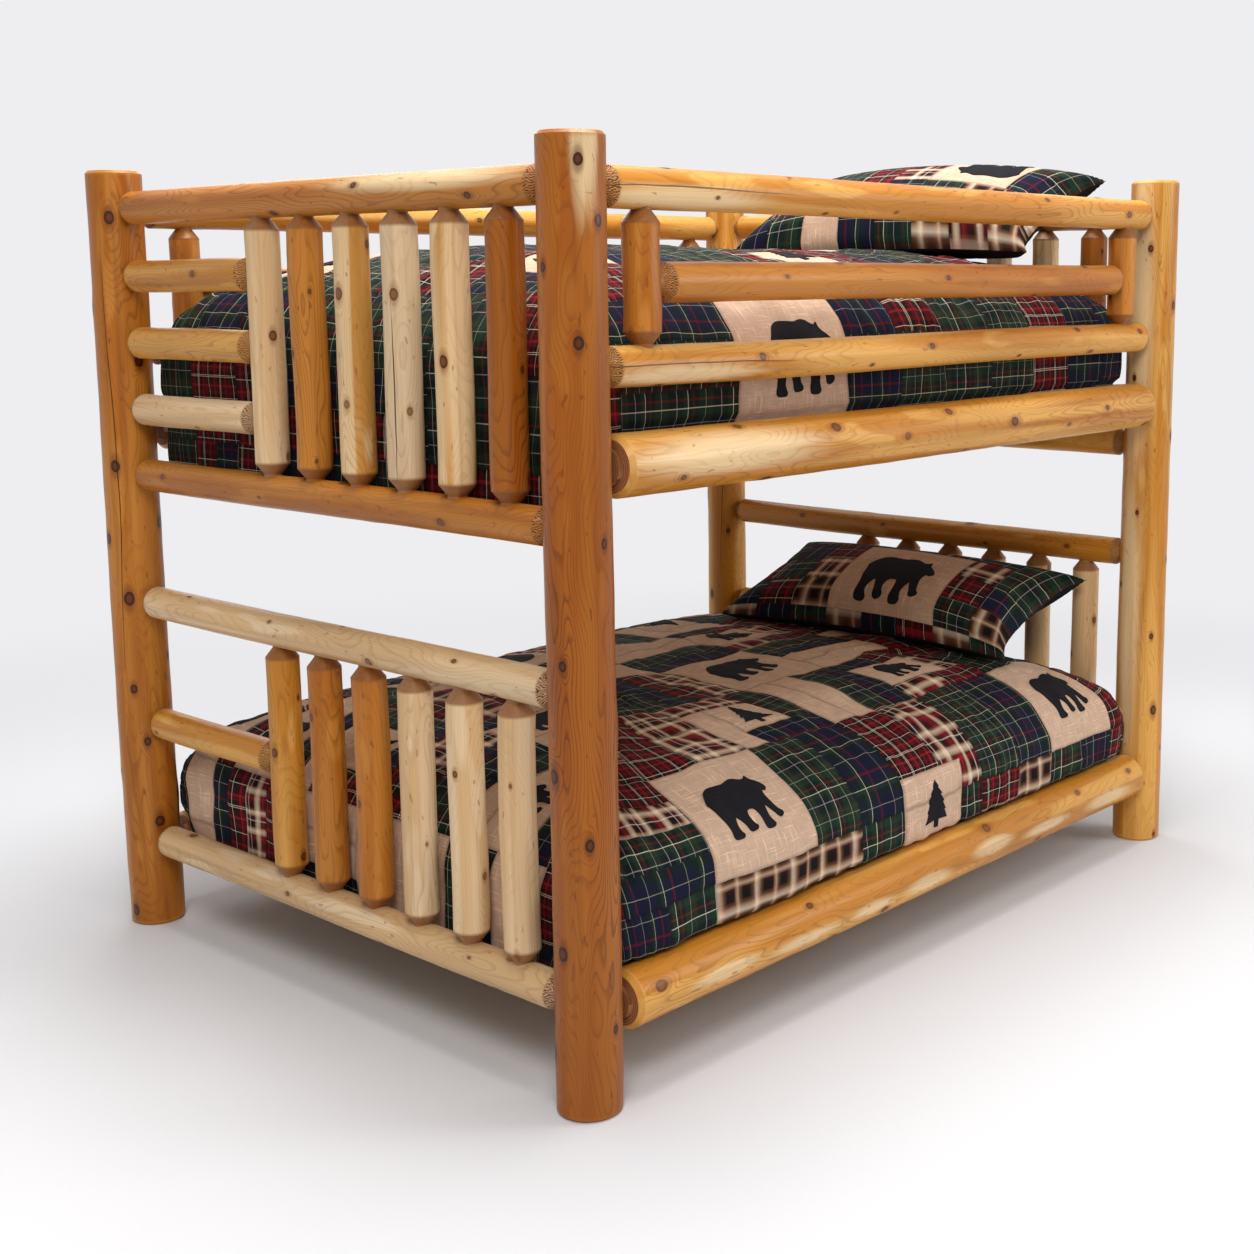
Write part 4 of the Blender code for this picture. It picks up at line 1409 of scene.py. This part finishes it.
@dataclass
class Quilt:
    """A patchwork quilt over a mattress, tucked in between the bed rails and hanging at the ends."""

    name: str
    body: str
    corner_power: float
    shift: float
    seed: int
    block: float
    hem: float
    drop: tuple[float, float]
    plan: tuple[tuple[str, ...], ...]
    order: str
    fullness: float = 0.0
    mattress_half: tuple[float, float] = (0.9525, 0.686)
    mattress_share: float = 0.60
    mattress_inset: float = 0.006
    mattress_lift: float = 0.002
    mattress_edge: float = 0.045
    shoulder: float = 0.143
    crown_width: float = 0.62
    dome_power: float = 2.4
    crown_corner_power: float = 5.0
    cell_steps: int = 9

    TUCK = (
        (0.028, 0.06), (0.040, 0.18), (0.053, 0.42), (0.060, 0.72),
        (0.066, 0.92), (0.082, 0.99), (0.110, 1.0),
    )
    GATHER = 0.30
    SEAM_DEPTH = 0.0024
    FOLD_PITCH = 0.066
    FOLD_HEIGHT = 0.0028

    def __post_init__(self) -> None:
        """Work out the section from the tucked edge to the ridge, by its length along the cloth."""
        low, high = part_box(self.body)
        self.bottom = low.z
        self.half = np.array([high.x, (high.y - low.y) / 2])
        self.rise = high.z - low.z + self.fullness
        turn = np.linspace(0, pi / 2, 90)
        inset = self.crown_width * (1 - np.maximum(np.cos(turn), 0.0) ** (2 / self.dome_power))
        lift = self.shoulder + (self.rise - self.shoulder) * np.sin(turn) ** (2 / self.dome_power)
        tuck = np.array(self.TUCK)
        self.height = np.concatenate([tuck[:, 0], lift])
        self.bulge = np.concatenate([tuck[:, 1], np.ones(len(turn))])
        self.inset = np.concatenate([np.zeros(len(tuck)), inset])
        self.crown = np.concatenate([np.zeros(len(tuck)), turn / (pi / 2)])
        out = self.bulge * (self.half[1] - self.mattress_half[1]) - self.inset
        steps = np.hypot(np.diff(out), np.diff(self.height))
        self.run = np.concatenate([[0.0], np.cumsum(steps)])
        self.fall = self.run[len(tuck) - 1]
        self.flat_half = self.run[-1] + self.half - self.crown_width
        row = 2 * (self.flat_half[1] - self.hem) / len(self.plan)
        self.cell = (self.block / 4, row / 4)

    def gather(self, flat: np.ndarray, reach: np.ndarray, room: np.ndarray) -> np.ndarray:
        """Lay cloth along a side, gathering what is too much near the corners.

        Args:
            flat: Flat place along the side.
            reach: Flat distance to the corner.
            room: Real distance to the corner.

        Returns:
            Place along the side.
        """
        straight = np.maximum(room - self.GATHER, 0.0)
        power = np.maximum((reach - straight) / np.maximum(room - straight, CLOSE), 1.0)
        share = np.clip((abs(flat) - straight) / np.maximum(reach - straight, CLOSE), 0.0, 1.0)
        bent = straight + (room - straight) * (1 - (1 - share) ** power)
        return np.sign(flat) * np.where(abs(flat) < straight, abs(flat), bent)

    def draped(self, across: np.ndarray, along: np.ndarray) -> np.ndarray:
        """Place of the smooth quilt in space.

        Args:
            across: Flat place along the bed.
            along: Flat place across the bed.

        Returns:
            Places in space.
        """
        to_end = self.flat_half[0] - abs(across)
        to_side = self.flat_half[1] - abs(along)
        run = np.clip(np.minimum(to_end, to_side), 0.0, self.run[-1])
        bulge = np.interp(run, self.run, self.bulge)
        inset = np.interp(run, self.run, self.inset)
        crown = np.interp(run, self.run, self.crown)
        z = self.bottom + np.interp(run, self.run, self.height)
        spare = self.half - self.mattress_half
        at_side = to_side <= to_end
        on_top = np.minimum(to_end, to_side) >= self.run[-1]

        # The sides are tucked in, but the middle of each end falls straight down past the board
        room_y = self.mattress_half[1] + bulge * spare[1] - inset
        y = np.where(at_side, np.sign(along) * room_y, self.gather(along, self.flat_half[1] - run, room_y))
        hung = self.hanging(y) * (~at_side & (to_end < self.fall))
        z += hung * (self.bottom + self.TUCK[-1][0] + to_end - self.fall - z)
        bulge += hung * (1 - bulge)
        room_x = self.mattress_half[0] + bulge * spare[0] - inset
        x = np.where(at_side, self.gather(across, self.flat_half[0] - run, room_x), np.sign(across) * room_x)
        x = np.where(on_top, across, x)
        y = np.where(on_top, along, y)
        power = self.corner_power ** (1 - crown) * self.crown_corner_power**crown
        u, v = abs(x / room_x), abs(y / room_y)
        pull = np.maximum(u**power + v**power, TINY) ** (-1 / power)
        pull = np.where(on_top, np.minimum(pull, 1.0), pull)
        return np.stack([x * pull, y * pull, z], 1)

    def hanging(self, y: np.ndarray) -> np.ndarray:
        """How far an end hangs free, from 0 at the corners to 1 over most of its width."""
        return smooth_step(abs(y), self.mattress_half[1] + 0.001, self.mattress_half[1] - 0.015)

    def patch(self, across: np.ndarray, along: np.ndarray) -> tuple[np.ndarray, np.ndarray]:
        """Which cloth and which patch lie at a flat place.

        Args:
            across: Flat place along the bed.
            along: Flat place across the bed.

        Returns:
            Index of the cloth, and a number for the patch.
        """
        count = len(self.plan[0])
        column = np.floor((across - self.shift) / self.cell[0] + CLOSE).astype(int) + 2 * count
        row = np.floor((along + self.flat_half[1] - self.hem) / self.cell[1] + CLOSE).astype(int)
        inside = (row >= 0) & (row < 4 * len(self.plan))
        row = np.clip(row, 0, 4 * len(self.plan) - 1)
        block_column, block_row = (column // 4) % count, row // 4
        letters = np.array([[list("".join(BLOCK_PLANS[name])) for name in line] for line in self.plan])
        letter = letters[block_row, block_column, (3 - row % 4) * 4 + column % 4]
        turn = 3 * block_column + 5 * block_row
        plain = letter == "T"
        number = np.where(plain, 0, np.char.replace(letter, "T", "0").astype(int))
        order = np.array([CLOTH_LETTERS.index(letter) for letter in self.order])
        cloth = np.where(plain, 5, order[(number + turn) % len(order)])
        patch = (column // 4) * 97 + block_row * 13 + np.where(plain, 7, number)
        hems = np.array([CLOTH_LETTERS.index(letter) for letter in HEM_PLAN.replace(" ", "")])
        hem = hems[column % (4 * count)]
        cloth = np.where(inside, cloth, hem)
        return cloth, np.where(inside, patch, 5000 + hem)

    def seam(self, across: np.ndarray, along: np.ndarray) -> np.ndarray:
        """How close flat places are to a seam of the quilt."""
        return near_seam(lambda a, b: self.patch(a, b)[1], across, along)

    def relief(self, across: np.ndarray, along: np.ndarray) -> np.ndarray:
        """How far the quilt's padding, seams and folds stand off the smooth quilt.

        Args:
            across: Flat place along the bed.
            along: Flat place across the bed.

        Returns:
            Distance along the normal.
        """
        draw = np.random.default_rng(self.seed)
        height = np.zeros(len(across))
        for length in np.geomspace(0.07, 0.50, 22):
            heading = draw.uniform(0, tau)
            phase = tau * (across * cos(heading) + along * sin(heading)) / length + draw.uniform(0, tau)
            height += 0.0034 * (length / 0.5) ** 0.8 * np.sin(phase + np.sin(phase * 0.61))
        height *= 0.55
        height -= self.SEAM_DEPTH * self.seam(across, along) ** 1.5
        to_end = self.flat_half[0] - abs(across)
        to_side = self.flat_half[1] - abs(along)
        run = np.minimum(to_end, to_side)
        hanging = smooth_step(run, 0.62, 0.30) * smooth_step(run, 0.02, 0.12)
        place = np.where(to_side <= to_end, across, along)
        folds = np.sin(tau * place / self.FOLD_PITCH + 1.7 * np.sin(7 * place) + 3 * run)
        height += self.FOLD_HEIGHT * hanging * folds * (0.6 + 0.4 * np.sin(4.3 * place + 1.0))
        at_hem = np.minimum(to_end + np.where(across < 0, *self.drop), to_side)
        return height * smooth_step(at_hem, 0.0, 0.06) * (0.5 + 0.5 * smooth_step(run, 0.0, 0.16))

    def surface(self, across: np.ndarray, along: np.ndarray) -> tuple[np.ndarray, np.ndarray]:
        """Places and normals of the finished quilt.

        Args:
            across: Flat place along the bed.
            along: Flat place across the bed.

        Returns:
            Places and normals in space.
        """
        step = 0.003
        right = self.draped(across + step, along) - self.draped(across - step, along)
        ahead = self.draped(across, along + step) - self.draped(across, along - step)
        normals = np.cross(right, ahead)
        normals /= np.maximum(np.linalg.norm(normals, axis=1), TINY)[:, None]
        places = self.draped(across, along)
        return places + normals * self.relief(across, along)[:, None], normals

    def lines(self, axis: int) -> np.ndarray:
        """Flat places of the grid lines along one axis, with one on every seam.

        Args:
            axis: 0 along the bed, 1 across it.

        Returns:
            The places in order.
        """
        step = self.cell[axis] / self.cell_steps
        extra = self.drop if axis == 0 else (0.0, 0.0)
        low, high = -self.flat_half[axis] - extra[0], self.flat_half[axis] + extra[1]
        shift = self.shift if axis == 0 else self.hem - self.flat_half[1]
        inner = np.arange(np.ceil((low - shift) / step), np.floor((high - shift) / step) + 1) * step + shift
        inner = inner[(inner > low + step / 3) & (inner < high - step / 3)]
        return np.concatenate([[low], inner, [high]])

    def build(self) -> Piece:
        """Make the quilt, its figures and the mattress under it.

        Returns:
            The quilt.
        """
        columns, rows = self.lines(0), self.lines(1)
        grid = {"x_subdivisions": len(columns) - 1, "y_subdivisions": len(rows) - 1, "size": 1.0}
        quilt = add_primitive(self.name, bpy.ops.mesh.primitive_grid_add, **grid)
        spots = points_of(quilt) + 0.5
        across = columns[np.rint(spots[:, 0] * (len(columns) - 1)).astype(int)]
        along = rows[np.rint(spots[:, 1] * (len(rows) - 1)).astype(int)]
        move_points(quilt, self.surface(across, along)[0])
        flat = np.stack([across, along], 1)
        corners = read_each(quilt.data.loops, "vertex_index", kind=np.int32)
        cloth, patch = self.patch(*flat[corners].reshape(-1, 4, 2).mean(1).T)
        lay_out(quilt, flat, bolt_shift(patch), 1.0 + patch * 0.37 % 0.5)
        keep_values(quilt, "seam", self.seam(across, along))
        dress(quilt, QUILT_CLOTHS, cloth)
        notched = self.notch(quilt, across, along)
        bpy.ops.object.shade_smooth()
        mattress = self.mattress()
        figures = sew_on(self.name + "_figures", self.figures(), self.surface)
        for piece in (quilt, figures, mattress):
            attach(piece, self.body)
        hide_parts(self.body)
        size = (float(2 * self.flat_half[0] + sum(self.drop)), float(2 * self.flat_half[1]))
        log.info("quilt %s, cut to %.2f x %.2f m", self.name, *size)
        return quilt

    def notch(self, quilt: Piece, across: np.ndarray, along: np.ndarray) -> float:
        """Cut the corners off, so that the ends hang between the posts.

        Args:
            quilt: The quilt.
            across: Flat place along the bed of each point.
            along: Flat place across the bed of each point.

        Returns:
            Flat area cut off.
        """
        y = self.draped(across, along)[:, 1]
        cut = 0.0
        with editing():
            bpy.ops.mesh.select_all(action="DESELECT")
            bpy.ops.mesh.select_mode(type="FACE")
            shape = bmesh.from_edit_mesh(quilt.data)
            for face in shape.faces:
                corners = [vertex.index for vertex in face.verts]
                beyond = np.mean(abs(across[corners])) > self.flat_half[0]
                if beyond and self.hanging(np.mean(y[corners])) < 1.0:
                    face.select_set(True)
                    cut += np.ptp(across[corners]) * np.ptp(along[corners])
            bmesh.update_edit_mesh(quilt.data)
            bpy.ops.mesh.delete(type="FACE")
            bpy.ops.mesh.select_mode(type="VERT")
        return float(cut)

    def figures(self) -> list[SewnFigure]:
        """Bears on the large tan blocks and pines on the small ones.

        Returns:
            The figures.
        """
        found = []
        for row, line in enumerate(self.plan):
            for column, name in enumerate(line):
                if name not in FIGURE_SPOTS:
                    continue
                motif, centre, share = FIGURE_SPOTS[name]
                x = (column * 4 - 2 * len(line) + centre[0]) * self.cell[0] + self.shift
                y = (row * 4 + centre[1]) * self.cell[1] + self.hem - self.flat_half[1]
                width = share * self.block
                if abs(x) + width / 2 < self.flat_half[0] - 0.10:
                    found.append(SewnFigure(motif, x, y, width, y > 0.25))
        return found

    def mattress(self) -> Piece:
        """Make the mattress that fills the quilt.

        Returns:
            The mattress.
        """
        height = self.rise * self.mattress_share
        middle = (0.0, 0.0, self.bottom + self.mattress_lift + height / 2)
        cube = bpy.ops.mesh.primitive_cube_add
        mattress = add_primitive(self.body + "_core", cube, size=1.0, location=middle)
        mattress.scale = (*(2 * (half - self.mattress_inset) for half in self.mattress_half), height)
        bpy.ops.object.transform_apply(location=True, rotation=False, scale=True)
        soft = mattress.modifiers.new("soft_edges", "BEVEL")
        soft.width = self.mattress_edge
        soft.segments = 6
        bpy.ops.object.modifier_apply(modifier=soft.name)
        spots = points_of(mattress)
        dress_plain(mattress, Cloth.TICKING, spots[:, :2] + spots[:, 2:])
        return mattress


LOWER_ROWS = (-0.212, -0.105, 0.0, 0.105)
LOWER_SHAM = ("GNRGNGRG", "GCTTTRNG", "NRTTTCGR", "BGTTTBRN", "GBRNBGNB")
UPPER_ROWS = (-0.13, -0.03, 0.09, 0.200)
UPPER_SHAM = ("GNRGNGRG", "GTTRGCRN", "NTTCRGNG", "CBGNRGCB", "BCBGNTGN")


@dataclass
class Sham:
    """A stuffed pillow in a patchwork sham, leaning back towards the head panel."""

    name: str
    body: str
    tilt: float
    rows: tuple[float, ...]
    plan: tuple[str, ...]
    bear: SewnFigure
    length: float = 0.98
    depth: float = 0.46
    crown: float = 0.105
    belly: float = 0.050
    draw_in: float = 0.035
    lift: float = 0.0
    steps: tuple[int, int] = (64, 128)
    cap: float = 0.022

    SLACK = 0.93
    FRAMES = 20
    BEAR_HEIGHT = 0.672
    BEAR_SHARE = 0.62

    def swollen(self, u: np.ndarray, v: np.ndarray, upper: bool) -> np.ndarray:
        """Place of the stuffed sham before it is blown up.

        Args:
            u: Share of the depth, from -1 to 1.
            v: Share of the length, from -1 to 1.
            upper: Whether the point is on the upper side.

        Returns:
            Places on the lying pillow.
        """
        swell = np.sqrt(np.clip((1 - u * u) * (1 - v * v), 0, 1))
        x = u * (self.depth / 2 - self.draw_in * (1 - v * v))
        y = v * (self.length / 2 - self.draw_in * (1 - u * u))
        return np.stack([x, y, (self.crown if upper else -self.belly) * swell], 1)

    def placement(self) -> Matrix:
        """Where the solid of the pillow lies.

        Returns:
            Its turn and place.
        """
        turned = Euler((0.0, -radians(self.tilt), 0.0)).to_matrix()
        grid = np.linspace(-1, 1, 41)
        u, v = (side.ravel() for side in np.meshgrid(grid, grid))
        points = np.concatenate([self.swollen(u, v, True), self.swollen(u, v, False)]) @ np.array(turned).T
        low, high = (np.array(corner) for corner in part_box(self.body))
        place = ((low - points.min(0)) + (high - points.max(0))) / 2 + (0.0, 0.0, self.lift)
        return Matrix.Translation(Vector(place)) @ turned.to_4x4()

    def patch(self, x: np.ndarray, y: np.ndarray) -> np.ndarray:
        """Which cloth lies at a flat place on the upper side.

        Args:
            x: Place across the pillow, towards the head panel.
            y: Place along the pillow.

        Returns:
            Index of the cloth.
        """
        cloths = np.array([[CLOTH_LETTERS.index(letter) for letter in line] for line in self.plan[::-1]])
        count = cloths.shape[1]
        column = np.clip(np.floor((y / self.length + 0.5) * count), 0, count - 1).astype(int)
        return cloths[np.searchsorted(self.rows, x), column]

    def half(self, upper: bool) -> Piece:
        """Make one side of the sham.

        Args:
            upper: Whether it is the upper side, in patchwork, or the plain lower one.

        Returns:
            The half.
        """
        grid = {"x_subdivisions": self.steps[0], "y_subdivisions": self.steps[1], "size": 2.0}
        half = add_primitive(self.name, bpy.ops.mesh.primitive_grid_add, **grid)
        u, v = points_of(half).T[:2]
        flat = np.stack([v * self.length / 2, u * self.depth / 2], 1)
        middles = read_each(half.data.polygons, "center", 3)[:, :2] * (self.depth / 2, self.length / 2)
        move_points(half, self.swollen(u, v, upper) * (1, 1, self.SLACK))
        cloth = self.patch(*middles.T) if upper else np.full(len(middles), len(QUILT_CLOTHS))
        lay_out(half, flat, bolt_shift(cloth))
        seam = near_seam(self.patch, flat[:, 1], flat[:, 0]) if upper else np.zeros(len(flat))
        keep_values(half, "seam", seam)
        dress(half, [*QUILT_CLOTHS, Cloth.BACKING], cloth)
        if not upper:
            with editing():
                bpy.ops.mesh.flip_normals()
        return half

    def build(self) -> Piece:
        """Make the sham with its figure.

        Returns:
            The pillow.
        """
        pick(self.half(True), self.half(False))
        bpy.ops.object.join()
        sham = bpy.context.object
        with editing():
            bpy.ops.mesh.remove_doubles(threshold=MERGE)
        self.blow_up(sham)
        figure = sew_on(self.name + "_figure", [self.bear], self.upper_side(sham))
        placement = self.placement()
        for piece in (sham, figure):
            pick(piece)
            piece.matrix_world = placement
            bpy.ops.object.transform_apply()
            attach(piece, self.body)
        pick(sham, figure)
        bpy.ops.object.shade_smooth_by_angle(angle=radians(60))
        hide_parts(self.body)
        flat = (self.bear.width, self.BEAR_HEIGHT * Motif.BEAR.stretch * self.bear.width)
        area = self.BEAR_SHARE * flat[0] * flat[1]
        log.info("pillow %s, %d faces", sham.name, len(sham.data.polygons))
        return sham

    def upper_side(self, sham: Piece) -> Surface:
        """Find the places on a lying pillow's upper side.

        Args:
            sham: The pillow, not yet in place.

        Returns:
            A function that gives places and normals from flat places.
        """
        points = [vertex.co for vertex in sham.data.vertices]
        tree = BVHTree.FromPolygons(points, [tuple(face.vertices) for face in sham.data.polygons])

        def found(across: np.ndarray, along: np.ndarray) -> tuple[np.ndarray, np.ndarray]:
            """Cast rays down on the pillow at flat places.

            Args:
                across: Flat place along the pillow, from the back of the bed to its front.
                along: Flat place towards the head panel.

            Returns:
                Places and normals.
            """
            down = Vector((0, 0, -1))
            hits = [tree.ray_cast(Vector((b, -a, 1.0)), down)[:2] for a, b in zip(across, along)]
            return np.array([tuple(hit[0]) for hit in hits]), np.array([tuple(hit[1]) for hit in hits])

        return found

    def blow_up(self, sham: Piece) -> None:
        """Let the stuffing press the cloth out, within a cap.

        Args:
            sham: The pillow.
        """
        before = points_of(sham)
        cloth = sham.modifiers.new("stuffing", "CLOTH")
        cloth.settings.quality = 5
        cloth.settings.use_pressure = True
        cloth.settings.uniform_pressure_force = 4.0
        cloth.settings.effector_weights.gravity = 0.0
        cloth.settings.shrink_min = -0.015
        cloth.point_cache.frame_start = 1
        cloth.point_cache.frame_end = self.FRAMES
        scene = bpy.context.scene
        for step in range(1, self.FRAMES + 1):
            scene.frame_set(step)
        moved = points_of(sham.evaluated_get(bpy.context.evaluated_depsgraph_get())) - before
        sham.modifiers.remove(cloth)
        scene.frame_set(1)
        far = np.maximum(np.linalg.norm(moved, axis=1), TINY)
        move_points(sham, before + moved * (self.cap * np.tanh(far / self.cap) / far)[:, None])


@dataclass
class Decks:
    """The boards that carry the mattresses, in bare plywood."""

    nodes: tuple[str, str] = ("lower_deck", "upper_deck")

    def dress(self) -> None:
        """Give the boards their finish."""
        material, board, shader = new_material("bare_board_finish")
        place = board.wire("TexCoord", out="Object")
        band = board.noise(place, (1.2, 26.0, 26.0), 3.0).ease(0.3, 0.7)
        fibre = board.noise(place, (8.0, 420.0, 420.0))
        tone = board.mix(band, srgb(222, 190, 144), srgb(196, 156, 106))
        tone = board.mix(fibre * 0.4, tone, srgb(160, 118, 74))
        bump = board.wire("Bump", {"Strength": 0.4, "Distance": 0.0005, "Height": fibre})
        board.feed(shader, {"Base Color": tone, "Roughness": fibre * 0.2 + 0.55, "Normal": bump})
        for node in self.nodes:
            bpy.data.objects[node].material_slots[0].material = material
            log.info("board %s", node)


@dataclass(frozen=True)
class Lamp:
    """A soft square lamp, turned to the bed."""

    name: str
    place: tuple[float, float, float]
    size: float
    power: float
    target: tuple[float, float, float] = (0.0, 0.0, 0.8)

    def hang(self) -> None:
        """Hang the lamp."""
        data = bpy.data.lights.new(self.name, "AREA")
        data.energy = self.power
        data.size = self.size
        lamp = bpy.data.objects.new(self.name, data)
        lamp.location = self.place
        aim = Vector(self.target) - Vector(self.place)
        lamp.rotation_euler = aim.to_track_quat("-Z", "Y").to_euler()
        bpy.context.scene.collection.objects.link(lamp)


@dataclass
class Studio:
    """Floor, light and camera."""

    lens_pixels: float = 1707.56
    picture_pixels: float = 1254.0
    sensor: float = 36.0
    place: tuple[float, float, float] = (-3.0716, -2.9193, 1.5086)
    yaw: float = 40.835
    pitch: float = 8.956
    roll: float = -0.27
    shift: tuple[float, float] = (-0.1021, -0.0608)
    backdrop: Colour = srgb(238, 238, 240)
    floor_size: float = 60.0
    floor_fade: tuple[float, float] = (1.8, 4.6)
    sky_strength: float = 0.32

    LAMPS = (
        Lamp("key", (-4.0, -3.6, 5.0), 2.2, 175.0),
        Lamp("side", (3.2, -4.6, 2.6), 2.0, 78.0, (0.2, 0.0, 0.8)),
        Lamp("top", (-0.2, -0.3, 5.2), 2.6, 240.0),
        Lamp("back", (2.6, 4.8, 4.4), 2.8, 70.0),
    )

    def build(self) -> None:
        """Set up floor, lamps, sky and camera."""
        self.floor()
        self.sky()
        for lamp in self.LAMPS:
            lamp.hang()
        self.camera()

    def camera(self) -> None:
        """Stand the camera where the picture was taken from."""
        data = bpy.data.cameras.new("camera")
        data.sensor_width = self.sensor
        data.lens = self.lens_pixels / self.picture_pixels * self.sensor
        data.shift_x, data.shift_y = self.shift
        camera = bpy.data.objects.new("camera", data)
        bpy.context.scene.collection.objects.link(camera)
        heading = Euler((0.0, 0.0, radians(self.yaw - 90))).to_matrix()
        tilt = Euler((radians(90 - self.pitch), 0.0, 0.0)).to_matrix()
        lean = Euler((0.0, 0.0, radians(self.roll))).to_matrix()
        camera.matrix_world = Matrix.Translation(self.place) @ (heading @ tilt @ lean).to_4x4()
        bpy.context.scene.camera = camera

    def floor(self) -> None:
        """Lay a wide pale floor that fades into the backdrop."""
        floor = add_primitive("floor", bpy.ops.mesh.primitive_plane_add, size=self.floor_size)
        material, board, shader = new_material("pale_floor")
        board.feed(shader, {"Roughness": 0.75, "Base Color": srgb(226, 226, 228)})
        across, along = board.parts(board.wire("TexCoord", out="Object"))[:2]
        seen = board.length(across, along).ease(*self.floor_fade) * self.looked_at(board)
        pale = board.wire("Emission", {"Color": self.backdrop, "Strength": 1.0})
        mixed = board.wire("MixShader", {0: seen, 1: Wire(board, shader.outputs[0]), 2: pale})
        board.feed(board.tree.nodes["Material Output"], {"Surface": mixed})
        floor.data.materials.append(material)

    def looked_at(self, board: NodeBoard) -> Wire:
        """Tell rays that look at the backdrop, also in a mirror or glass, from those that light the bed.

        Args:
            board: Board of the material or sky.

        Returns:
            1 for looking rays and 0 for the others.
        """
        path = board.add("LightPath").outputs
        straight, mirrored, through = (
            Wire(board, path[f"Is {kind} Ray"]) for kind in ("Camera", "Glossy", "Transmission")
        )
        return straight + (mirrored + through)

    def sky(self) -> None:
        """Spread an even sky, with the backdrop where it is looked at."""
        world = bpy.data.worlds.new("studio")
        world.use_nodes = True
        bpy.context.scene.world = world
        board = NodeBoard(world.node_tree)
        sky = world.node_tree.nodes["Background"]
        board.feed(sky, {"Color": srgb(240, 241, 244), "Strength": self.sky_strength})
        pale = board.wire("Background", {"Color": self.backdrop, "Strength": 1.0})
        mixed = board.wire("MixShader", {0: self.looked_at(board), 1: Wire(board, sky.outputs[0]), 2: pale})
        board.feed(board.tree.nodes["World Output"], {"Surface": mixed})


def main() -> None:
    """Build the bed's looks in order."""
    logging.basicConfig(level=logging.INFO, format="%(message)s")
    bpy.context.scene.view_settings.view_transform = "Standard"
    Studio().build()
    LogFrame().build()
    Decks().dress()
    Quilt(
        "lower_quilt",
        "lower_mattress",
        corner_power=24.0,
        shift=-0.066,
        seed=5,
        block=0.312,
        hem=0.165,
        drop=(0.0, 0.0),
        plan=LOWER_PLAN,
        order="NRCRCGNTTG",
    ).build()
    Quilt(
        "upper_quilt",
        "upper_mattress",
        corner_power=60.0,
        shift=0.165,
        seed=8,
        block=0.360,
        hem=0.0,
        drop=(0.13, 0.04),
        plan=UPPER_PLAN,
        order="GRNRNGG",
        fullness=0.018,
    ).build()
    bear = SewnFigure(Motif.BEAR, across=0.061, along=-0.055, width=0.22)
    Sham("lower_sham", "lower_pillow", 21.0, LOWER_ROWS, LOWER_SHAM, bear).build()
    bear = SewnFigure(Motif.BEAR, across=0.245, along=0.085, width=0.18, upside_down=True)
    Sham("upper_sham", "upper_pillow", 26.0, UPPER_ROWS, UPPER_SHAM, bear, crown=0.122, lift=0.012).build()


if __name__ == "__main__":
    main()
